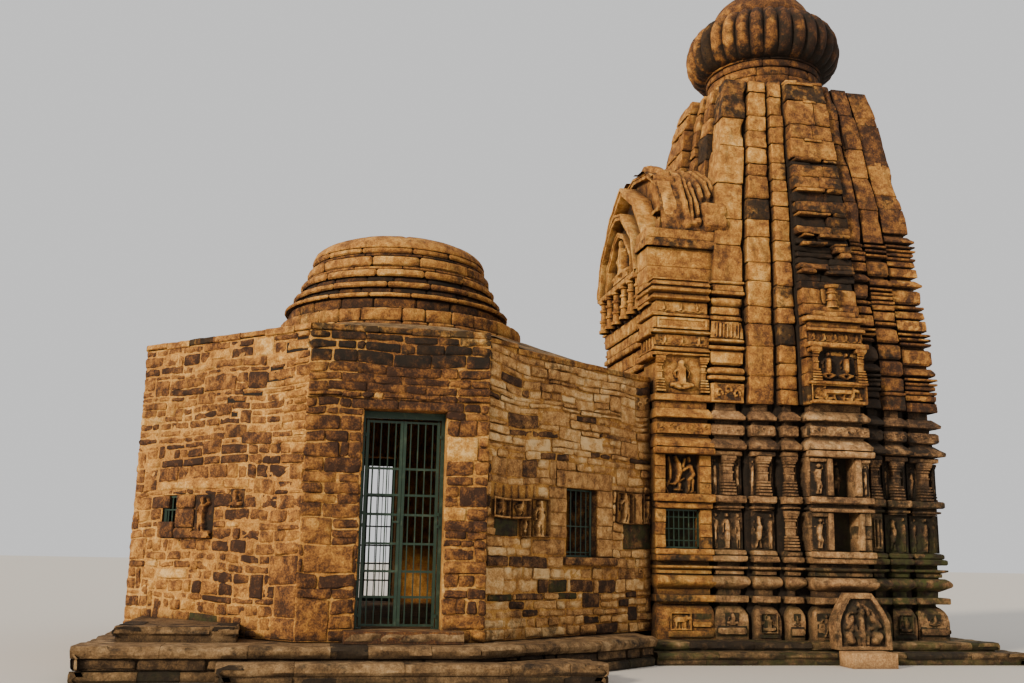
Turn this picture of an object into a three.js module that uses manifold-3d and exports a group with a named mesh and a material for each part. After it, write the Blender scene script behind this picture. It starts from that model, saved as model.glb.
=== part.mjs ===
// A stone temple: a low walled hall under a stepped dome, and a tall carved tower joined to it.
// Millimetres, +Z up. The origin is on the ground under the middle of the hall's front wall,
// on the long axis; +X runs from the hall to the tower, and -Y is the front with the gate.
import * as THREE from "three";
import { mergeVertices } from "three/addons/utils/BufferGeometryUtils.js";
import Module from "manifold-3d";

const wasm = await Module();
wasm.setup();

// Levels above the ground
const WALL_BASE = 420;
const FLOOR = 570;
const DOOR_TOP = 3420;
const WALL_TOP = 4450;
const COPING_TOP = 4550;

// The hall in plan, front half: the back half mirrors it
const HALL_FRONT = 4073;
const FRONT_HALF = 1215;
const WEST_X = -3634;
const WEST_HALF = 1654;
const PIER_STEP = 120;
const RIGHT_WALL_END = 1719;
const WALL = 750;
const JOINT = 0.3;

// The doorways, and the two kinds of slanted-wall window, measured along the wall's outer face
const DOOR_LEFT = -480;
const DOOR_RIGHT = 650;
const WEST_DOOR_HALF = 565;
const SMALL_WINDOW = { from: 2450, to: 2770, low: 1680, high: 2290 };
const LARGE_WINDOW = { from: 1700, to: 2420, low: 1530, high: 2530 };

// Plinth and steps
const PLINTH_LOW = 250;
const STEP_OUT = 5048;
const PLINTH_OUT = 4723;
const TOWER_PLINTH_LOW = 190;
const TOWER_PLINTH_TOP = 320;
const TOWER_PLINTH_HALF = 2870;
const TOWER_COURSE_HALF = 2560;
const PLINTH_WEST = -3750;
const STEP_WEST = -2090;
const STEP_EAST = 2640;
const STEP_CORNER = { x: 2640, y: 4323 };
const PLINTH_EAST = 4000;
const PLINTH_CORNERS = [[1070, PLINTH_OUT], [2240, 4083], [2900, 3743]];
const FOOTING = { west: -3400, east: -1900, westY: 1889, eastY: 3389 };
const FOOTING_TOP = 600;
const FOOT_BLOCK = { from: 6880, to: 7600, out: 420, high: 220 };

// The threshold slab in front of the door sill
const THRESHOLD = { from: -610, to: 910, out: 300 };

// The dome over the hall: a low roof, a many-sided drum, stepped rings and a domed cap.
// The drum stands a little east of the rings' axis.
const DOME_X = 240;
const DOME_SEGMENTS = 40;
const COPING_OUT = 30;
const ROOF_MIDDLE = { radius: 2900, z: 4720 };
const ROOF_HEAD = { radius: 2350, z: 4960 };
const ROOF_OPEN = 1700;
const DRUM = { x: 330, radius: 2130, low: 4960, high: 5290, sides: 16 };
const LOWER_RINGS = [
  { radius: 1935, low: 5290, high: 5520 },
  { radius: 1785, low: 5520, high: 5780 },
];
const UPPER_RINGS = [
  { radius: 1680, low: 5780, high: 6020 },
  { radius: 1590, low: 6020, high: 6260 },
  { radius: 1480, low: 6260, high: 6430 },
];
const LOWER_HOLLOW = 1300;
const UPPER_HOLLOW = 1000;
const CAP_LOW = 6430;
const CAP_RADIUS = 1480;
const CAP_RISE = 445;
const CAP_HOLLOW = { radius: 850, rise: 230 };

// The antechamber between hall and tower
const ANTE_X = 4290;
const ANTE_END = 5290;
const ANTE_HALF = 2030;
const PASSAGE_HALF = 650;
const ANTE_NICHE = { from: 4560, to: 5060, lowDepth: 250, highDepth: 100 };

// The gabled front over the antechamber: its faces step back from the front side to the back side
const GABLE_FACE = 4360;
const GABLE_BASE_FACE = 4430;
const GABLE_MIDDLE = 1220;
const GABLE_BACK_X = 4650;
const GABLE_BASE_TOP = 5720;
const GABLE_BLOCK_TOP = 6700;
const GABLE_BLOCK_X = 4250;
const GABLE_BLOCK_HALF = 1770;
const GABLE_CORNICE = { x: 4210, end: 5400, half: 1850, high: 7020 };
const GABLE_DEEP_END = 5640;

// The tower: half widths of its corner, its two middle offsets and its central offset
const TOWER_X = 7270;
const CORNER = 2030;
const OFFSETS = [
  { plane: 2130, reach: 1435 },
  { plane: 2230, reach: 925 },
  { plane: 2430, reach: 555 },
];
const CELL_HALF = 1200;
const CELL_DOOR_HALF = 480;
const CELL_DOOR_TOP = 2750;
const CELL_CEILING = 260;
const TOWER_WALL_TOP = 4050;
const SPIRE_TOP = 10090;
const SPIRE_SHELL = 760;
const NICHE_HALF = 255;
const NICHE_DEPTH = 260;
const NICHES = [
  { low: 1720, high: 2300 },
  { low: 2580, high: 3170 },
];
const WALL_SINK = 130;
const DISC_X = 7240;
const DISC_LOW = 10800;
const DISC_TOP = 11860;

// The gate in the front doorway
const GATE_SETBACK = 260;
const POST = 50;
const STILE = 40;
const BAR = 16;
const HINGE_CLEAR = 36;
const PIN_RADIUS = 9;
const PIN_HEIGHT = 14;
const LEAF_GAP = 6;
const GATE_FOOT = 30;
const HEAD_BEAM = 90;

// Rails of a gate leaf, as heights above its foot, and how far apart its upright bars are
const RAILS = [0, 360, 690, 1050, 1430, 1690, 2040, 2690];
const RAIL_DEEP = 30;
const BAR_SPACING = 110;

// Longer than any half of the temple, for boxes that cut it in parts
const FAR = 4000;

const stone = new THREE.MeshStandardMaterial({ color: 0xa8763a, roughness: 0.9, metalness: 0 });
const pavingStone = new THREE.MeshStandardMaterial({ color: 0x7d6748, roughness: 0.95, metalness: 0 });
const steel = new THREE.MeshStandardMaterial({ color: 0x22372c, roughness: 0.55, metalness: 0.4 });

const temple = new THREE.Group();

// A three.js geometry as a manifold-3d solid
function solidOf(geometry) {
  const bare = geometry.index ? geometry.toNonIndexed() : geometry.clone();
  bare.deleteAttribute("normal");
  bare.deleteAttribute("uv");
  const merged = mergeVertices(bare, 1e-3);
  return new wasm.Manifold(
    new wasm.Mesh({
      numProp: 3,
      vertProperties: new Float32Array(merged.attributes.position.array),
      triVerts: new Uint32Array(merged.index.array),
    }),
  );
}

// Adds a solid to the temple as a named mesh
function piece(name, solid, material = stone) {
  const mesh = solid.getMesh();
  const stride = mesh.numProp;
  const places = new Float32Array(mesh.numVert * 3);
  for (let i = 0; i < mesh.numVert; i++) {
    places.set(mesh.vertProperties.subarray(i * stride, i * stride + 3), i * 3);
  }
  const geometry = new THREE.BufferGeometry();
  geometry.setAttribute("position", new THREE.BufferAttribute(places, 3));
  geometry.setIndex(new THREE.BufferAttribute(mesh.triVerts, 1));
  geometry.computeVertexNormals();
  const made = new THREE.Mesh(geometry, material);
  made.name = name;
  temple.add(made);
}

function box(x0, x1, y0, y1, z0, z1) {
  const geometry = new THREE.BoxGeometry(x1 - x0, y1 - y0, z1 - z0);
  geometry.translate((x0 + x1) / 2, (y0 + y1) / 2, (z0 + z1) / 2);
  return solidOf(geometry);
}

// An upright prism over an outline of [x, y] points
function prism(points, z0, z1) {
  const shape = new THREE.Shape(points.map(([x, y]) => new THREE.Vector2(x, y)));
  const geometry = new THREE.ExtrudeGeometry(shape, { depth: z1 - z0, bevelEnabled: false });
  geometry.translate(0, 0, z0);
  return solidOf(geometry);
}

// A closed skin over level outlines that have the same number of points, from the lowest up
function loft(outlines) {
  const count = outlines[0].points.length;
  const places = [];
  const faces = [];
  for (const { points, z } of outlines) {
    for (const [x, y] of points) places.push(x, y, z);
  }
  for (let level = 0; level + 1 < outlines.length; level++) {
    for (let i = 0; i < count; i++) {
      const a = level * count + i;
      const b = level * count + ((i + 1) % count);
      faces.push(a, b, b + count, a, b + count, a + count);
    }
  }
  const flat = outlines[0].points.map(([x, y]) => new THREE.Vector2(x, y));
  const cap = THREE.ShapeUtils.triangulateShape(flat, []);
  const top = (outlines.length - 1) * count;
  for (const [a, b, c] of cap) {
    faces.push(c, b, a);
    faces.push(top + a, top + b, top + c);
  }
  const geometry = new THREE.BufferGeometry();
  geometry.setAttribute("position", new THREE.Float32BufferAttribute(places, 3));
  geometry.setIndex(faces);
  return solidOf(geometry);
}

// An upright slab across the long axis, over an outline of [y, z] points
function slab(points, x0, x1) {
  const shape = new THREE.Shape(points.map(([y, z]) => new THREE.Vector2(y, z)));
  const geometry = new THREE.ExtrudeGeometry(shape, { depth: x1 - x0, bevelEnabled: false });
  geometry.applyMatrix4(new THREE.Matrix4().set(0, 0, 1, x0, 1, 0, 0, 0, 0, 1, 0, 0, 0, 0, 0, 1));
  return solidOf(geometry);
}

// A turned solid from [radius, z] points that start and end on the axis
function turned(profile, x, y, segments) {
  const points = profile.map(([r, z]) => new THREE.Vector2(r, z));
  const geometry = new THREE.LatheGeometry(points, segments);
  geometry.rotateX(Math.PI / 2);
  geometry.translate(x, y, 0);
  return solidOf(geometry);
}

function join(solids) {
  return solids.reduce((whole, next) => whole.add(next));
}

function mirrored(points) {
  return points.map(([x, y]) => [x, -y]).reverse();
}

// A piece on the front, and its like on the back, from one outline-making function
function frontAndBack(name, make, material = stone) {
  piece("front_" + name, make((points) => points, -1), material);
  piece("back_" + name, make(mirrored, 1), material);
}

function along(from, to, distance) {
  const length = Math.hypot(to[0] - from[0], to[1] - from[1]);
  const step = [(to[0] - from[0]) / length, (to[1] - from[1]) / length];
  return [from[0] + step[0] * distance, from[1] + step[1] * distance];
}

// The outline of a hole through a wall, running past both faces
function holeOutline(from, to, start, end) {
  const length = Math.hypot(to[0] - from[0], to[1] - from[1]);
  const inward = [-(to[1] - from[1]) / length, (to[0] - from[0]) / length];
  const past = 200;
  const a = along(from, to, start);
  const b = along(from, to, end);
  const push = (p, d) => [p[0] + inward[0] * d, p[1] + inward[1] * d];
  return [push(a, -past), push(b, -past), push(b, WALL + past), push(a, WALL + past)];
}

// Hall walls. Inner corners lie on the lines that run a wall's thickness inside the outer faces.
const leftFrom = [WEST_X, -WEST_HALF];
const leftTo = [-FRONT_HALF, -HALL_FRONT];
const rightFrom = [FRONT_HALF, -(HALL_FRONT - PIER_STEP)];
const rightTo = [ANTE_X, -RIGHT_WALL_END];

function meet(a, b, c, d) {
  const r = [b[0] - a[0], b[1] - a[1]];
  const s = [d[0] - c[0], d[1] - c[1]];
  const t = ((c[0] - a[0]) * s[1] - (c[1] - a[1]) * s[0]) / (r[0] * s[1] - r[1] * s[0]);
  return [a[0] + r[0] * t, a[1] + r[1] * t];
}

function inside(from, to, depth) {
  const length = Math.hypot(to[0] - from[0], to[1] - from[1]);
  const n = [-(to[1] - from[1]) / length, (to[0] - from[0]) / length];
  const move = ([x, y]) => [x + n[0] * depth, y + n[1] * depth];
  return [move(from), move(to)];
}

const frontInner = -(HALL_FRONT - WALL);
const frontLine = [[-1, frontInner], [1, frontInner]];
const westLine = [[WEST_X + WALL, 1], [WEST_X + WALL, -1]];
const leftLine = inside(leftFrom, leftTo, WALL);
const rightLine = inside(rightFrom, rightTo, WALL);
const innerWestLeft = meet(...westLine, ...leftLine);
const innerLeftFront = meet(...leftLine, ...frontLine);
const innerFrontRight = meet(...frontLine, ...rightLine);
const innerRightEnd = meet(...rightLine, [ANTE_X, 1], [ANTE_X, -1]);

function frontWallPart(x0, x1, z0, z1) {
  const left = x0 <= -FRONT_HALF ? innerLeftFront[0] : x0;
  const right = x1 >= FRONT_HALF ? innerFrontRight[0] : x1;
  const outline = [
    [x0, -HALL_FRONT],
    [x1, -HALL_FRONT],
    [right, frontInner],
    [left, frontInner],
  ];
  return (turn) => prism(turn(outline), z0, z1);
}

function slantedWall(from, to, innerFrom, innerTo, window) {
  return (turn) => {
    const a = along(from, to, JOINT);
    const b = along(to, from, JOINT);
    const c = along(innerTo, innerFrom, JOINT);
    const d = along(innerFrom, innerTo, JOINT);
    const wall = prism(turn([a, b, c, d]), WALL_BASE, WALL_TOP);
    const hole = prism(turn(holeOutline(from, to, window.from, window.to)), window.low, window.high);
    return wall.subtract(hole);
  };
}

// The wall beside and over a doorway on the long side, front or back
const leftPier = frontWallPart(-FRONT_HALF, DOOR_LEFT, WALL_BASE, WALL_TOP);
const overDoor = frontWallPart(DOOR_LEFT, DOOR_RIGHT, DOOR_TOP, WALL_TOP);
function rightPier(turn) {
  const outline = [
    [DOOR_RIGHT, -HALL_FRONT],
    [FRONT_HALF, -HALL_FRONT],
    rightFrom,
    innerFrontRight,
    [DOOR_RIGHT, frontInner],
  ];
  return prism(turn(outline), WALL_BASE, WALL_TOP);
}
const asDrawn = (points) => points;
piece("front_wall_left", leftPier(asDrawn));
piece("front_wall_right", rightPier(asDrawn));
piece("front_wall_over_door", overDoor(asDrawn));
piece("back_wall", join([leftPier(mirrored), rightPier(mirrored), overDoor(mirrored)]));
const smallFromCorner = Math.hypot(leftTo[0] - leftFrom[0], leftTo[1] - leftFrom[1]);
const smallWindow = {
  from: smallFromCorner - SMALL_WINDOW.to,
  to: smallFromCorner - SMALL_WINDOW.from,
  low: SMALL_WINDOW.low,
  high: SMALL_WINDOW.high,
};
frontAndBack("slanted_wall_left", slantedWall(leftFrom, leftTo, innerWestLeft, innerLeftFront, smallWindow));
frontAndBack("slanted_wall_right", slantedWall(rightFrom, rightTo, innerFrontRight, innerRightEnd, LARGE_WINDOW));

// The west wall faces away from the tower and has a doorway in its middle
function westWallSide(turn) {
  const outline = [
    [WEST_X, -WEST_HALF],
    innerWestLeft,
    [WEST_X + WALL, -WEST_DOOR_HALF],
    [WEST_X, -WEST_DOOR_HALF],
  ];
  return prism(turn(outline), WALL_BASE, WALL_TOP);
}
piece("west_wall", join([
  westWallSide(asDrawn),
  westWallSide(mirrored),
  box(WEST_X, WEST_X + WALL, -WEST_DOOR_HALF, WEST_DOOR_HALF, DOOR_TOP, WALL_TOP),
]));

// Plinth, floor and steps
const plinthFront = [
  [PLINTH_WEST, -PLINTH_OUT],
  ...PLINTH_CORNERS.map(([x, y]) => [x, -y]),
  [PLINTH_EAST, -TOWER_PLINTH_HALF],
];
const plinthOutline = [...plinthFront, ...mirrored(plinthFront)];
const footing = [
  [FOOTING.west, -HALL_FRONT],
  [FOOTING.east, -HALL_FRONT],
  [FOOTING.east, -FOOTING.eastY],
  [FOOTING.west, -FOOTING.westY],
];
piece("hall_plinth", join([
  prism(plinthOutline, 0, WALL_BASE),
  prism(footing, WALL_BASE, FOOTING_TOP),
  prism(mirrored(footing), WALL_BASE, FOOTING_TOP),
]), pavingStone);
frontAndBack("step", (turn) => prism(turn([
  [STEP_WEST, -STEP_OUT],
  [STEP_EAST, -STEP_OUT],
  [STEP_CORNER.x, -STEP_CORNER.y],
  [PLINTH_CORNERS[1][0], -PLINTH_CORNERS[1][1] - JOINT * 2],
  [PLINTH_CORNERS[0][0], -PLINTH_CORNERS[0][1] - JOINT],
  [STEP_WEST, -PLINTH_OUT - JOINT],
]), 0, PLINTH_LOW), pavingStone);

const hallInside = [
  innerWestLeft,
  innerLeftFront,
  innerFrontRight,
  innerRightEnd,
];
const floorOutline = [...hallInside, ...mirrored(hallInside)].map(([x, y]) => [
  x - Math.sign(x) * JOINT,
  y - Math.sign(y) * JOINT,
]);
function sill(turn) {
  return prism(turn([
    [DOOR_LEFT, -HALL_FRONT],
    [DOOR_RIGHT, -HALL_FRONT],
    [DOOR_RIGHT, frontInner + 50],
    [DOOR_LEFT, frontInner + 50],
  ]), WALL_BASE, FLOOR);
}
piece("hall_floor", join([
  prism(floorOutline, WALL_BASE, FLOOR),
  sill(asDrawn),
  sill(mirrored),
  box(WEST_X, WEST_X + WALL + 50, -WEST_DOOR_HALF, WEST_DOOR_HALF, WALL_BASE, FLOOR),
]), pavingStone);
frontAndBack("threshold", (turn) => prism(turn([
  [THRESHOLD.from, -HALL_FRONT - THRESHOLD.out],
  [THRESHOLD.to, -HALL_FRONT - THRESHOLD.out],
  [THRESHOLD.to, -HALL_FRONT],
  [THRESHOLD.from, -HALL_FRONT],
]), WALL_BASE, FLOOR), pavingStone);

// The roof: a coping round the walls, a low slope, and stepped rings up to the cap
const copingOutline = [
  [WEST_X - COPING_OUT, -WEST_HALF],
  [-FRONT_HALF, -HALL_FRONT - COPING_OUT],
  [FRONT_HALF, -HALL_FRONT - COPING_OUT],
  [ANTE_X, -RIGHT_WALL_END - COPING_OUT],
];
const wholeCoping = [...copingOutline, ...mirrored(copingOutline)];
const roofInner = [...hallInside, ...mirrored(hallInside)];
const copingHole = prism(roofInner, WALL_TOP - 10, COPING_TOP + 10);
piece("hall_coping", prism(wholeCoping, WALL_TOP, COPING_TOP).subtract(copingHole));

// Points of a circle round an upright axis
function circleOutline(x, radius, count, start = 0) {
  return Array.from({ length: count }, (_, i) => {
    const turn = start + (i / count) * Math.PI * 2;
    return [x + radius * Math.cos(turn), radius * Math.sin(turn)];
  });
}

// The outline of a level polygon in evenly turned directions from the dome's axis
function polarOutline(polygon, count) {
  return Array.from({ length: count }, (_, i) => {
    const turn = (i / count) * Math.PI * 2;
    const far = [DOME_X + 20000 * Math.cos(turn), 20000 * Math.sin(turn)];
    let best = null;
    for (let k = 0; k < polygon.length; k++) {
      const a = polygon[k];
      const b = polygon[(k + 1) % polygon.length];
      const r = [far[0] - DOME_X, far[1]];
      const s = [b[0] - a[0], b[1] - a[1]];
      const bottom = r[0] * s[1] - r[1] * s[0];
      const t = ((a[0] - DOME_X) * s[1] - a[1] * s[0]) / bottom;
      const u = ((a[0] - DOME_X) * r[1] - a[1] * r[0]) / bottom;
      if (t > 0 && u >= 0 && u <= 1 && (best === null || t > best)) best = t;
    }
    return [DOME_X + best * (far[0] - DOME_X), best * far[1]];
  });
}

const ROOF_POINTS = 48;
const inset = (outline, scale) => outline.map(([x, y]) => [x * scale, y * scale]);
const roof = loft([
  { points: polarOutline(inset(wholeCoping, 0.985), ROOF_POINTS), z: COPING_TOP },
  { points: circleOutline(DOME_X, ROOF_MIDDLE.radius, ROOF_POINTS), z: ROOF_MIDDLE.z },
  { points: circleOutline(DOME_X, ROOF_HEAD.radius, ROOF_POINTS), z: ROOF_HEAD.z },
]);
const roofHollow = loft([
  { points: polarOutline(inset(roofInner, 0.96), ROOF_POINTS), z: COPING_TOP - 10 },
  { points: circleOutline(DOME_X, ROOF_OPEN, ROOF_POINTS), z: ROOF_HEAD.z + 10 },
]);
piece("roof_slope", roof.subtract(roofHollow));

const disc = (radius, low, high) =>
  turned([[0, low], [radius, low], [radius, high], [0, high]], DOME_X, 0, DOME_SEGMENTS);
const rings = (table) => table.map(({ radius, low, high }) => disc(radius, low, high));
const drum = prism(circleOutline(DRUM.x, DRUM.radius, DRUM.sides, Math.PI / DRUM.sides), DRUM.low, DRUM.high);
const lowerHollow = disc(LOWER_HOLLOW, DRUM.low - 10, CAP_LOW);
piece("dome_drum", drum.subtract(lowerHollow));
piece("dome_lower_rings", join(rings(LOWER_RINGS)).subtract(lowerHollow));
piece("dome_upper_rings", join(rings(UPPER_RINGS)).subtract(disc(UPPER_HOLLOW, DRUM.high, CAP_LOW + 10)));

// A quarter of an ellipse, from its edge to the axis
function domed(radius, low, rise, steps) {
  return Array.from({ length: steps + 1 }, (_, i) => {
    const turn = ((i / steps) * Math.PI) / 2;
    return [i === steps ? 0 : radius * Math.cos(turn), low + rise * Math.sin(turn)];
  });
}
const capProfile = [[0, CAP_LOW], [CAP_RADIUS, CAP_LOW], ...domed(CAP_RADIUS, CAP_LOW, CAP_RISE, 7).slice(1)];
const capHollow = [
  [0, CAP_LOW - 10],
  [CAP_HOLLOW.radius, CAP_LOW - 10],
  ...domed(CAP_HOLLOW.radius, CAP_LOW, CAP_HOLLOW.rise, 4),
];
piece("dome_cap", turned(capProfile, DOME_X, 0, DOME_SEGMENTS).subtract(turned(capHollow, DOME_X, 0, DOME_SEGMENTS)));

// The tower's plan: a square whose sides step out towards the middle. Grow moves its faces out,
// and spread widens the steps.
function towerOutline(scale, grow, spread = 0) {
  const corner = CORNER * scale + grow;
  const side = [[-corner, -corner]];
  let plane = corner;
  for (const offset of OFFSETS) {
    const reach = offset.reach * scale + spread;
    side.push([-reach, -plane]);
    plane = offset.plane * scale + grow;
    side.push([-reach, -plane]);
  }
  const half = side.slice(1).map(([x, y]) => [-x, y]).reverse();
  const front = [...side, ...half];
  const outline = [];
  for (let quarter = 0; quarter < 4; quarter++) {
    const c = Math.round(Math.cos((quarter * Math.PI) / 2));
    const s = Math.round(Math.sin((quarter * Math.PI) / 2));
    for (const [x, y] of front) outline.push([TOWER_X + x * c - y * s, x * s + y * c]);
  }
  return outline;
}

// The mouldings of the walls: each stretch of height with how far it stands out
const baseMouldings = [
  [320, 850, 0],
  [850, 1070, -70],
  [1070, 1270, 0],
  [1270, 1500, -100],
  [1500, 1690, -30],
];
const wallMouldings = [
  [1690, 2320, -WALL_SINK],
  [2320, 2550, 0],
  [2550, 3190, -WALL_SINK],
  [3190, 3475, 30],
  [3475, 3780, -40],
  [3780, 3880, -120],
  [3880, 3970, 0],
  [3970, TOWER_WALL_TOP, -90],
];
const stack = (mouldings) => join(mouldings.map(([z0, z1, grow]) => prism(towerOutline(1, grow), z0, z1)));
const CELL_EAST = TOWER_X + CELL_HALF;
const CELL_WEST = TOWER_X - CELL_HALF;
const cell = box(CELL_WEST, CELL_EAST, -CELL_HALF, CELL_HALF, TOWER_PLINTH_TOP - 20, TOWER_WALL_TOP + 50);
const frontHalf = box(ANTE_END, TOWER_X + FAR, -FAR, -CELL_HALF, 0, FAR * 3);
const backHalf = box(ANTE_END, TOWER_X + FAR, CELL_HALF, FAR, 0, FAR * 3);
const eastPart = box(TOWER_X + CELL_HALF, TOWER_X + FAR, -CELL_HALF, CELL_HALF, 0, FAR * 3);

// A niche in the middle of each side: a recess with a flat back
const nicheBack = OFFSETS[2].plane - WALL_SINK - NICHE_DEPTH;
function niche({ low, high }) {
  const front = box(TOWER_X - NICHE_HALF, TOWER_X + NICHE_HALF, -FAR, -nicheBack, low, high);
  const back = box(TOWER_X - NICHE_HALF, TOWER_X + NICHE_HALF, nicheBack, FAR, low, high);
  const east = box(TOWER_X + nicheBack, TOWER_X + FAR, -NICHE_HALF, NICHE_HALF, low, high);
  return join([front, back, east]);
}

const base = stack(baseMouldings).subtract(cell);
const walls = stack(wallMouldings).subtract(cell).subtract(join(NICHES.map(niche)));
piece("front_tower_base", base.intersect(frontHalf));
piece("back_tower_base", base.intersect(backHalf));
piece("east_tower_base", base.intersect(eastPart));
piece("front_tower_wall", walls.intersect(frontHalf));
piece("back_tower_wall", walls.intersect(backHalf));
piece("east_tower_wall", walls.intersect(eastPart));

const westSide = box(ANTE_END, CELL_WEST, -CELL_HALF, CELL_HALF, TOWER_PLINTH_TOP, TOWER_WALL_TOP);
const cellDoor = box(0, TOWER_X, -CELL_DOOR_HALF, CELL_DOOR_HALF, 0, CELL_DOOR_TOP);
piece("cell_door_wall", westSide.subtract(cellDoor));
piece("cell_floor", join([
  box(ANTE_X, CELL_WEST, -CELL_DOOR_HALF, CELL_DOOR_HALF, TOWER_PLINTH_TOP, FLOOR),
  box(CELL_WEST, CELL_EAST, -CELL_HALF, CELL_HALF, TOWER_PLINTH_TOP, FLOOR),
]), pavingStone);
const ceilingLow = TOWER_WALL_TOP - CELL_CEILING;
piece("cell_ceiling", box(CELL_WEST, CELL_EAST, -CELL_HALF, CELL_HALF, ceilingLow, TOWER_WALL_TOP));

// Tower plinth, in two courses
const plinthWest = PLINTH_EAST + JOINT;
function plinthCourse(half, z0, z1) {
  return box(plinthWest, TOWER_X + half, -half, half, z0, z1);
}
piece("tower_plinth", join([
  plinthCourse(TOWER_PLINTH_HALF, 0, TOWER_PLINTH_LOW),
  plinthCourse(TOWER_COURSE_HALF, TOWER_PLINTH_LOW, TOWER_PLINTH_TOP),
]), pavingStone);
const blockBack = -TOWER_PLINTH_HALF - JOINT;
piece("foot_block", box(
  FOOT_BLOCK.from,
  FOOT_BLOCK.to,
  blockBack - FOOT_BLOCK.out,
  blockBack,
  0,
  FOOT_BLOCK.high,
), pavingStone);

// The antechamber's side walls, each with a deep lower niche and a shallow upper one, and its ceiling
const anteMouldings = [...baseMouldings, ...wallMouldings];
frontAndBack("antechamber_wall", (turn, side) => {
  const across = (y0, y1, x0, x1, z0, z1) =>
    box(x0, x1, Math.min(side * y0, side * y1), Math.max(side * y0, side * y1), z0, z1);
  const layers = anteMouldings.map(([z0, z1, grow]) =>
    across(PASSAGE_HALF, ANTE_HALF + grow, ANTE_X, ANTE_END, z0, z1));
  const face = ANTE_HALF - WALL_SINK;
  const depths = [ANTE_NICHE.lowDepth, ANTE_NICHE.highDepth];
  const niches = NICHES.map(({ low, high }, i) =>
    across(face - depths[i], FAR, ANTE_NICHE.from, ANTE_NICHE.to, low, high));
  return join(layers).subtract(join(niches));
});
piece("antechamber_ceiling", box(ANTE_X, ANTE_END, -PASSAGE_HALF, PASSAGE_HALF, DOOR_TOP, TOWER_WALL_TOP));

// The spire: half width of its corner at each level
const spireCurve = [
  [TOWER_WALL_TOP, 2030],
  [5000, 2010],
  [6300, 1895],
  [7550, 1800],
  [8700, 1610],
  [9500, 1500],
  [SPIRE_TOP, 1370],
];
function spireHalf(z) {
  const k = spireCurve.findIndex(([level]) => level >= z);
  if (k <= 0) return spireCurve[0][1];
  const [z0, w0] = spireCurve[k - 1];
  const [z1, w1] = spireCurve[k];
  return w0 + ((z - z0) / (z1 - z0)) * (w1 - w0);
}
const levelsBetween = (from, to) => [from, ...spireCurve.map(([z]) => z).filter((z) => z > from && z < to), to];
function spireShape(from, to, grow) {
  return loft(levelsBetween(from, to).map((z) => ({ points: towerOutline(spireHalf(z) / CORNER, grow, grow), z })));
}

// The gabled front over the antechamber. Its lower part is a moulded pier on the front side,
// a plainer middle and a pier that stands further back.
const GABLE_BANDS = [
  [TOWER_WALL_TOP, 4800, 0],
  [4800, 5120, 40],
  [5120, 5450, 0],
  [5450, GABLE_BASE_TOP, 40],
];
piece("gable_base", join(GABLE_BANDS.flatMap(([z0, z1, grow]) => [
  box(ANTE_X - grow, ANTE_END, -ANTE_HALF + 40 - grow, -GABLE_MIDDLE, z0, z1),
  box(GABLE_BASE_FACE - grow, ANTE_END, -GABLE_MIDDLE, GABLE_MIDDLE, z0, z1),
  box(GABLE_BACK_X - grow, ANTE_END, GABLE_MIDDLE, ANTE_HALF - 40 + grow, z0, z1),
])));

// Half of each pointed outline over the block, as [y, z] points up to the middle
const FRONT_POINT = [[1160, 6420], [960, 7120], [290, 7720], [0, 7770]];
const SECOND_POINT = [[1500, 6420], [1500, 6620], [1230, 7200], [750, 7860], [0, 8320]];
const RIDGE_POINT = [[1770, GABLE_BLOCK_TOP], [1760, 7070], [1690, 7500], [1400, 7980], [800, 8380], [0, 8520]];
const FRONT_POINT_END = 4500;
function pointed(half, x0, x1) {
  const left = half.slice(0, -1).map(([y, z]) => [-y, z]);
  return slab([...half, ...left.reverse()], x0, x1);
}
const westOfSpire = box(0, ANTE_END, -FAR, FAR, 0, FAR * 3);
const besideSpire = spireShape(GABLE_BASE_TOP - 50, 8700, JOINT).subtract(westOfSpire);
const underCornice = GABLE_BLOCK_TOP - 1;
const corniceSide = -GABLE_CORNICE.half;
piece("gable_block", join([
  box(GABLE_BLOCK_X, GABLE_DEEP_END, -GABLE_BLOCK_HALF, -GABLE_MIDDLE, GABLE_BASE_TOP, GABLE_BLOCK_TOP),
  box(GABLE_FACE, GABLE_DEEP_END, -GABLE_MIDDLE, GABLE_MIDDLE, GABLE_BASE_TOP, FRONT_POINT[0][1]),
  box(GABLE_BACK_X, GABLE_DEEP_END, GABLE_MIDDLE, GABLE_BLOCK_HALF, GABLE_BASE_TOP, GABLE_BLOCK_TOP),
  box(GABLE_CORNICE.x, GABLE_CORNICE.end, corniceSide, -GABLE_MIDDLE, underCornice, GABLE_CORNICE.high),
  pointed(FRONT_POINT, GABLE_FACE, FRONT_POINT_END + 1),
  pointed(SECOND_POINT, FRONT_POINT_END, GABLE_BACK_X + 1),
  pointed(RIDGE_POINT, GABLE_BACK_X, GABLE_DEEP_END),
  box(GABLE_BACK_X, GABLE_DEEP_END, -GABLE_MIDDLE, GABLE_MIDDLE, FRONT_POINT[0][1], GABLE_BLOCK_TOP + 1),
]).subtract(besideSpire));

function spirePart(name, from, to) {
  const square = (half) => [
    [TOWER_X - half, -half],
    [TOWER_X + half, -half],
    [TOWER_X + half, half],
    [TOWER_X - half, half],
  ];
  const levels = levelsBetween(from, to);
  const hollow = loft(levels.map((z, i) => {
    const past = i === 0 ? -10 : i === levels.length - 1 ? 10 : 0;
    return { points: square(spireHalf(z) - SPIRE_SHELL), z: z + past };
  }));
  piece(name, spireShape(from, to, 0).subtract(hollow).subtract(westOfSpire));
}
spirePart("spire_lower", TOWER_WALL_TOP, 6300);
spirePart("spire_middle", 6300, 8700);
spirePart("spire_upper", 8700, SPIRE_TOP);

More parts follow.
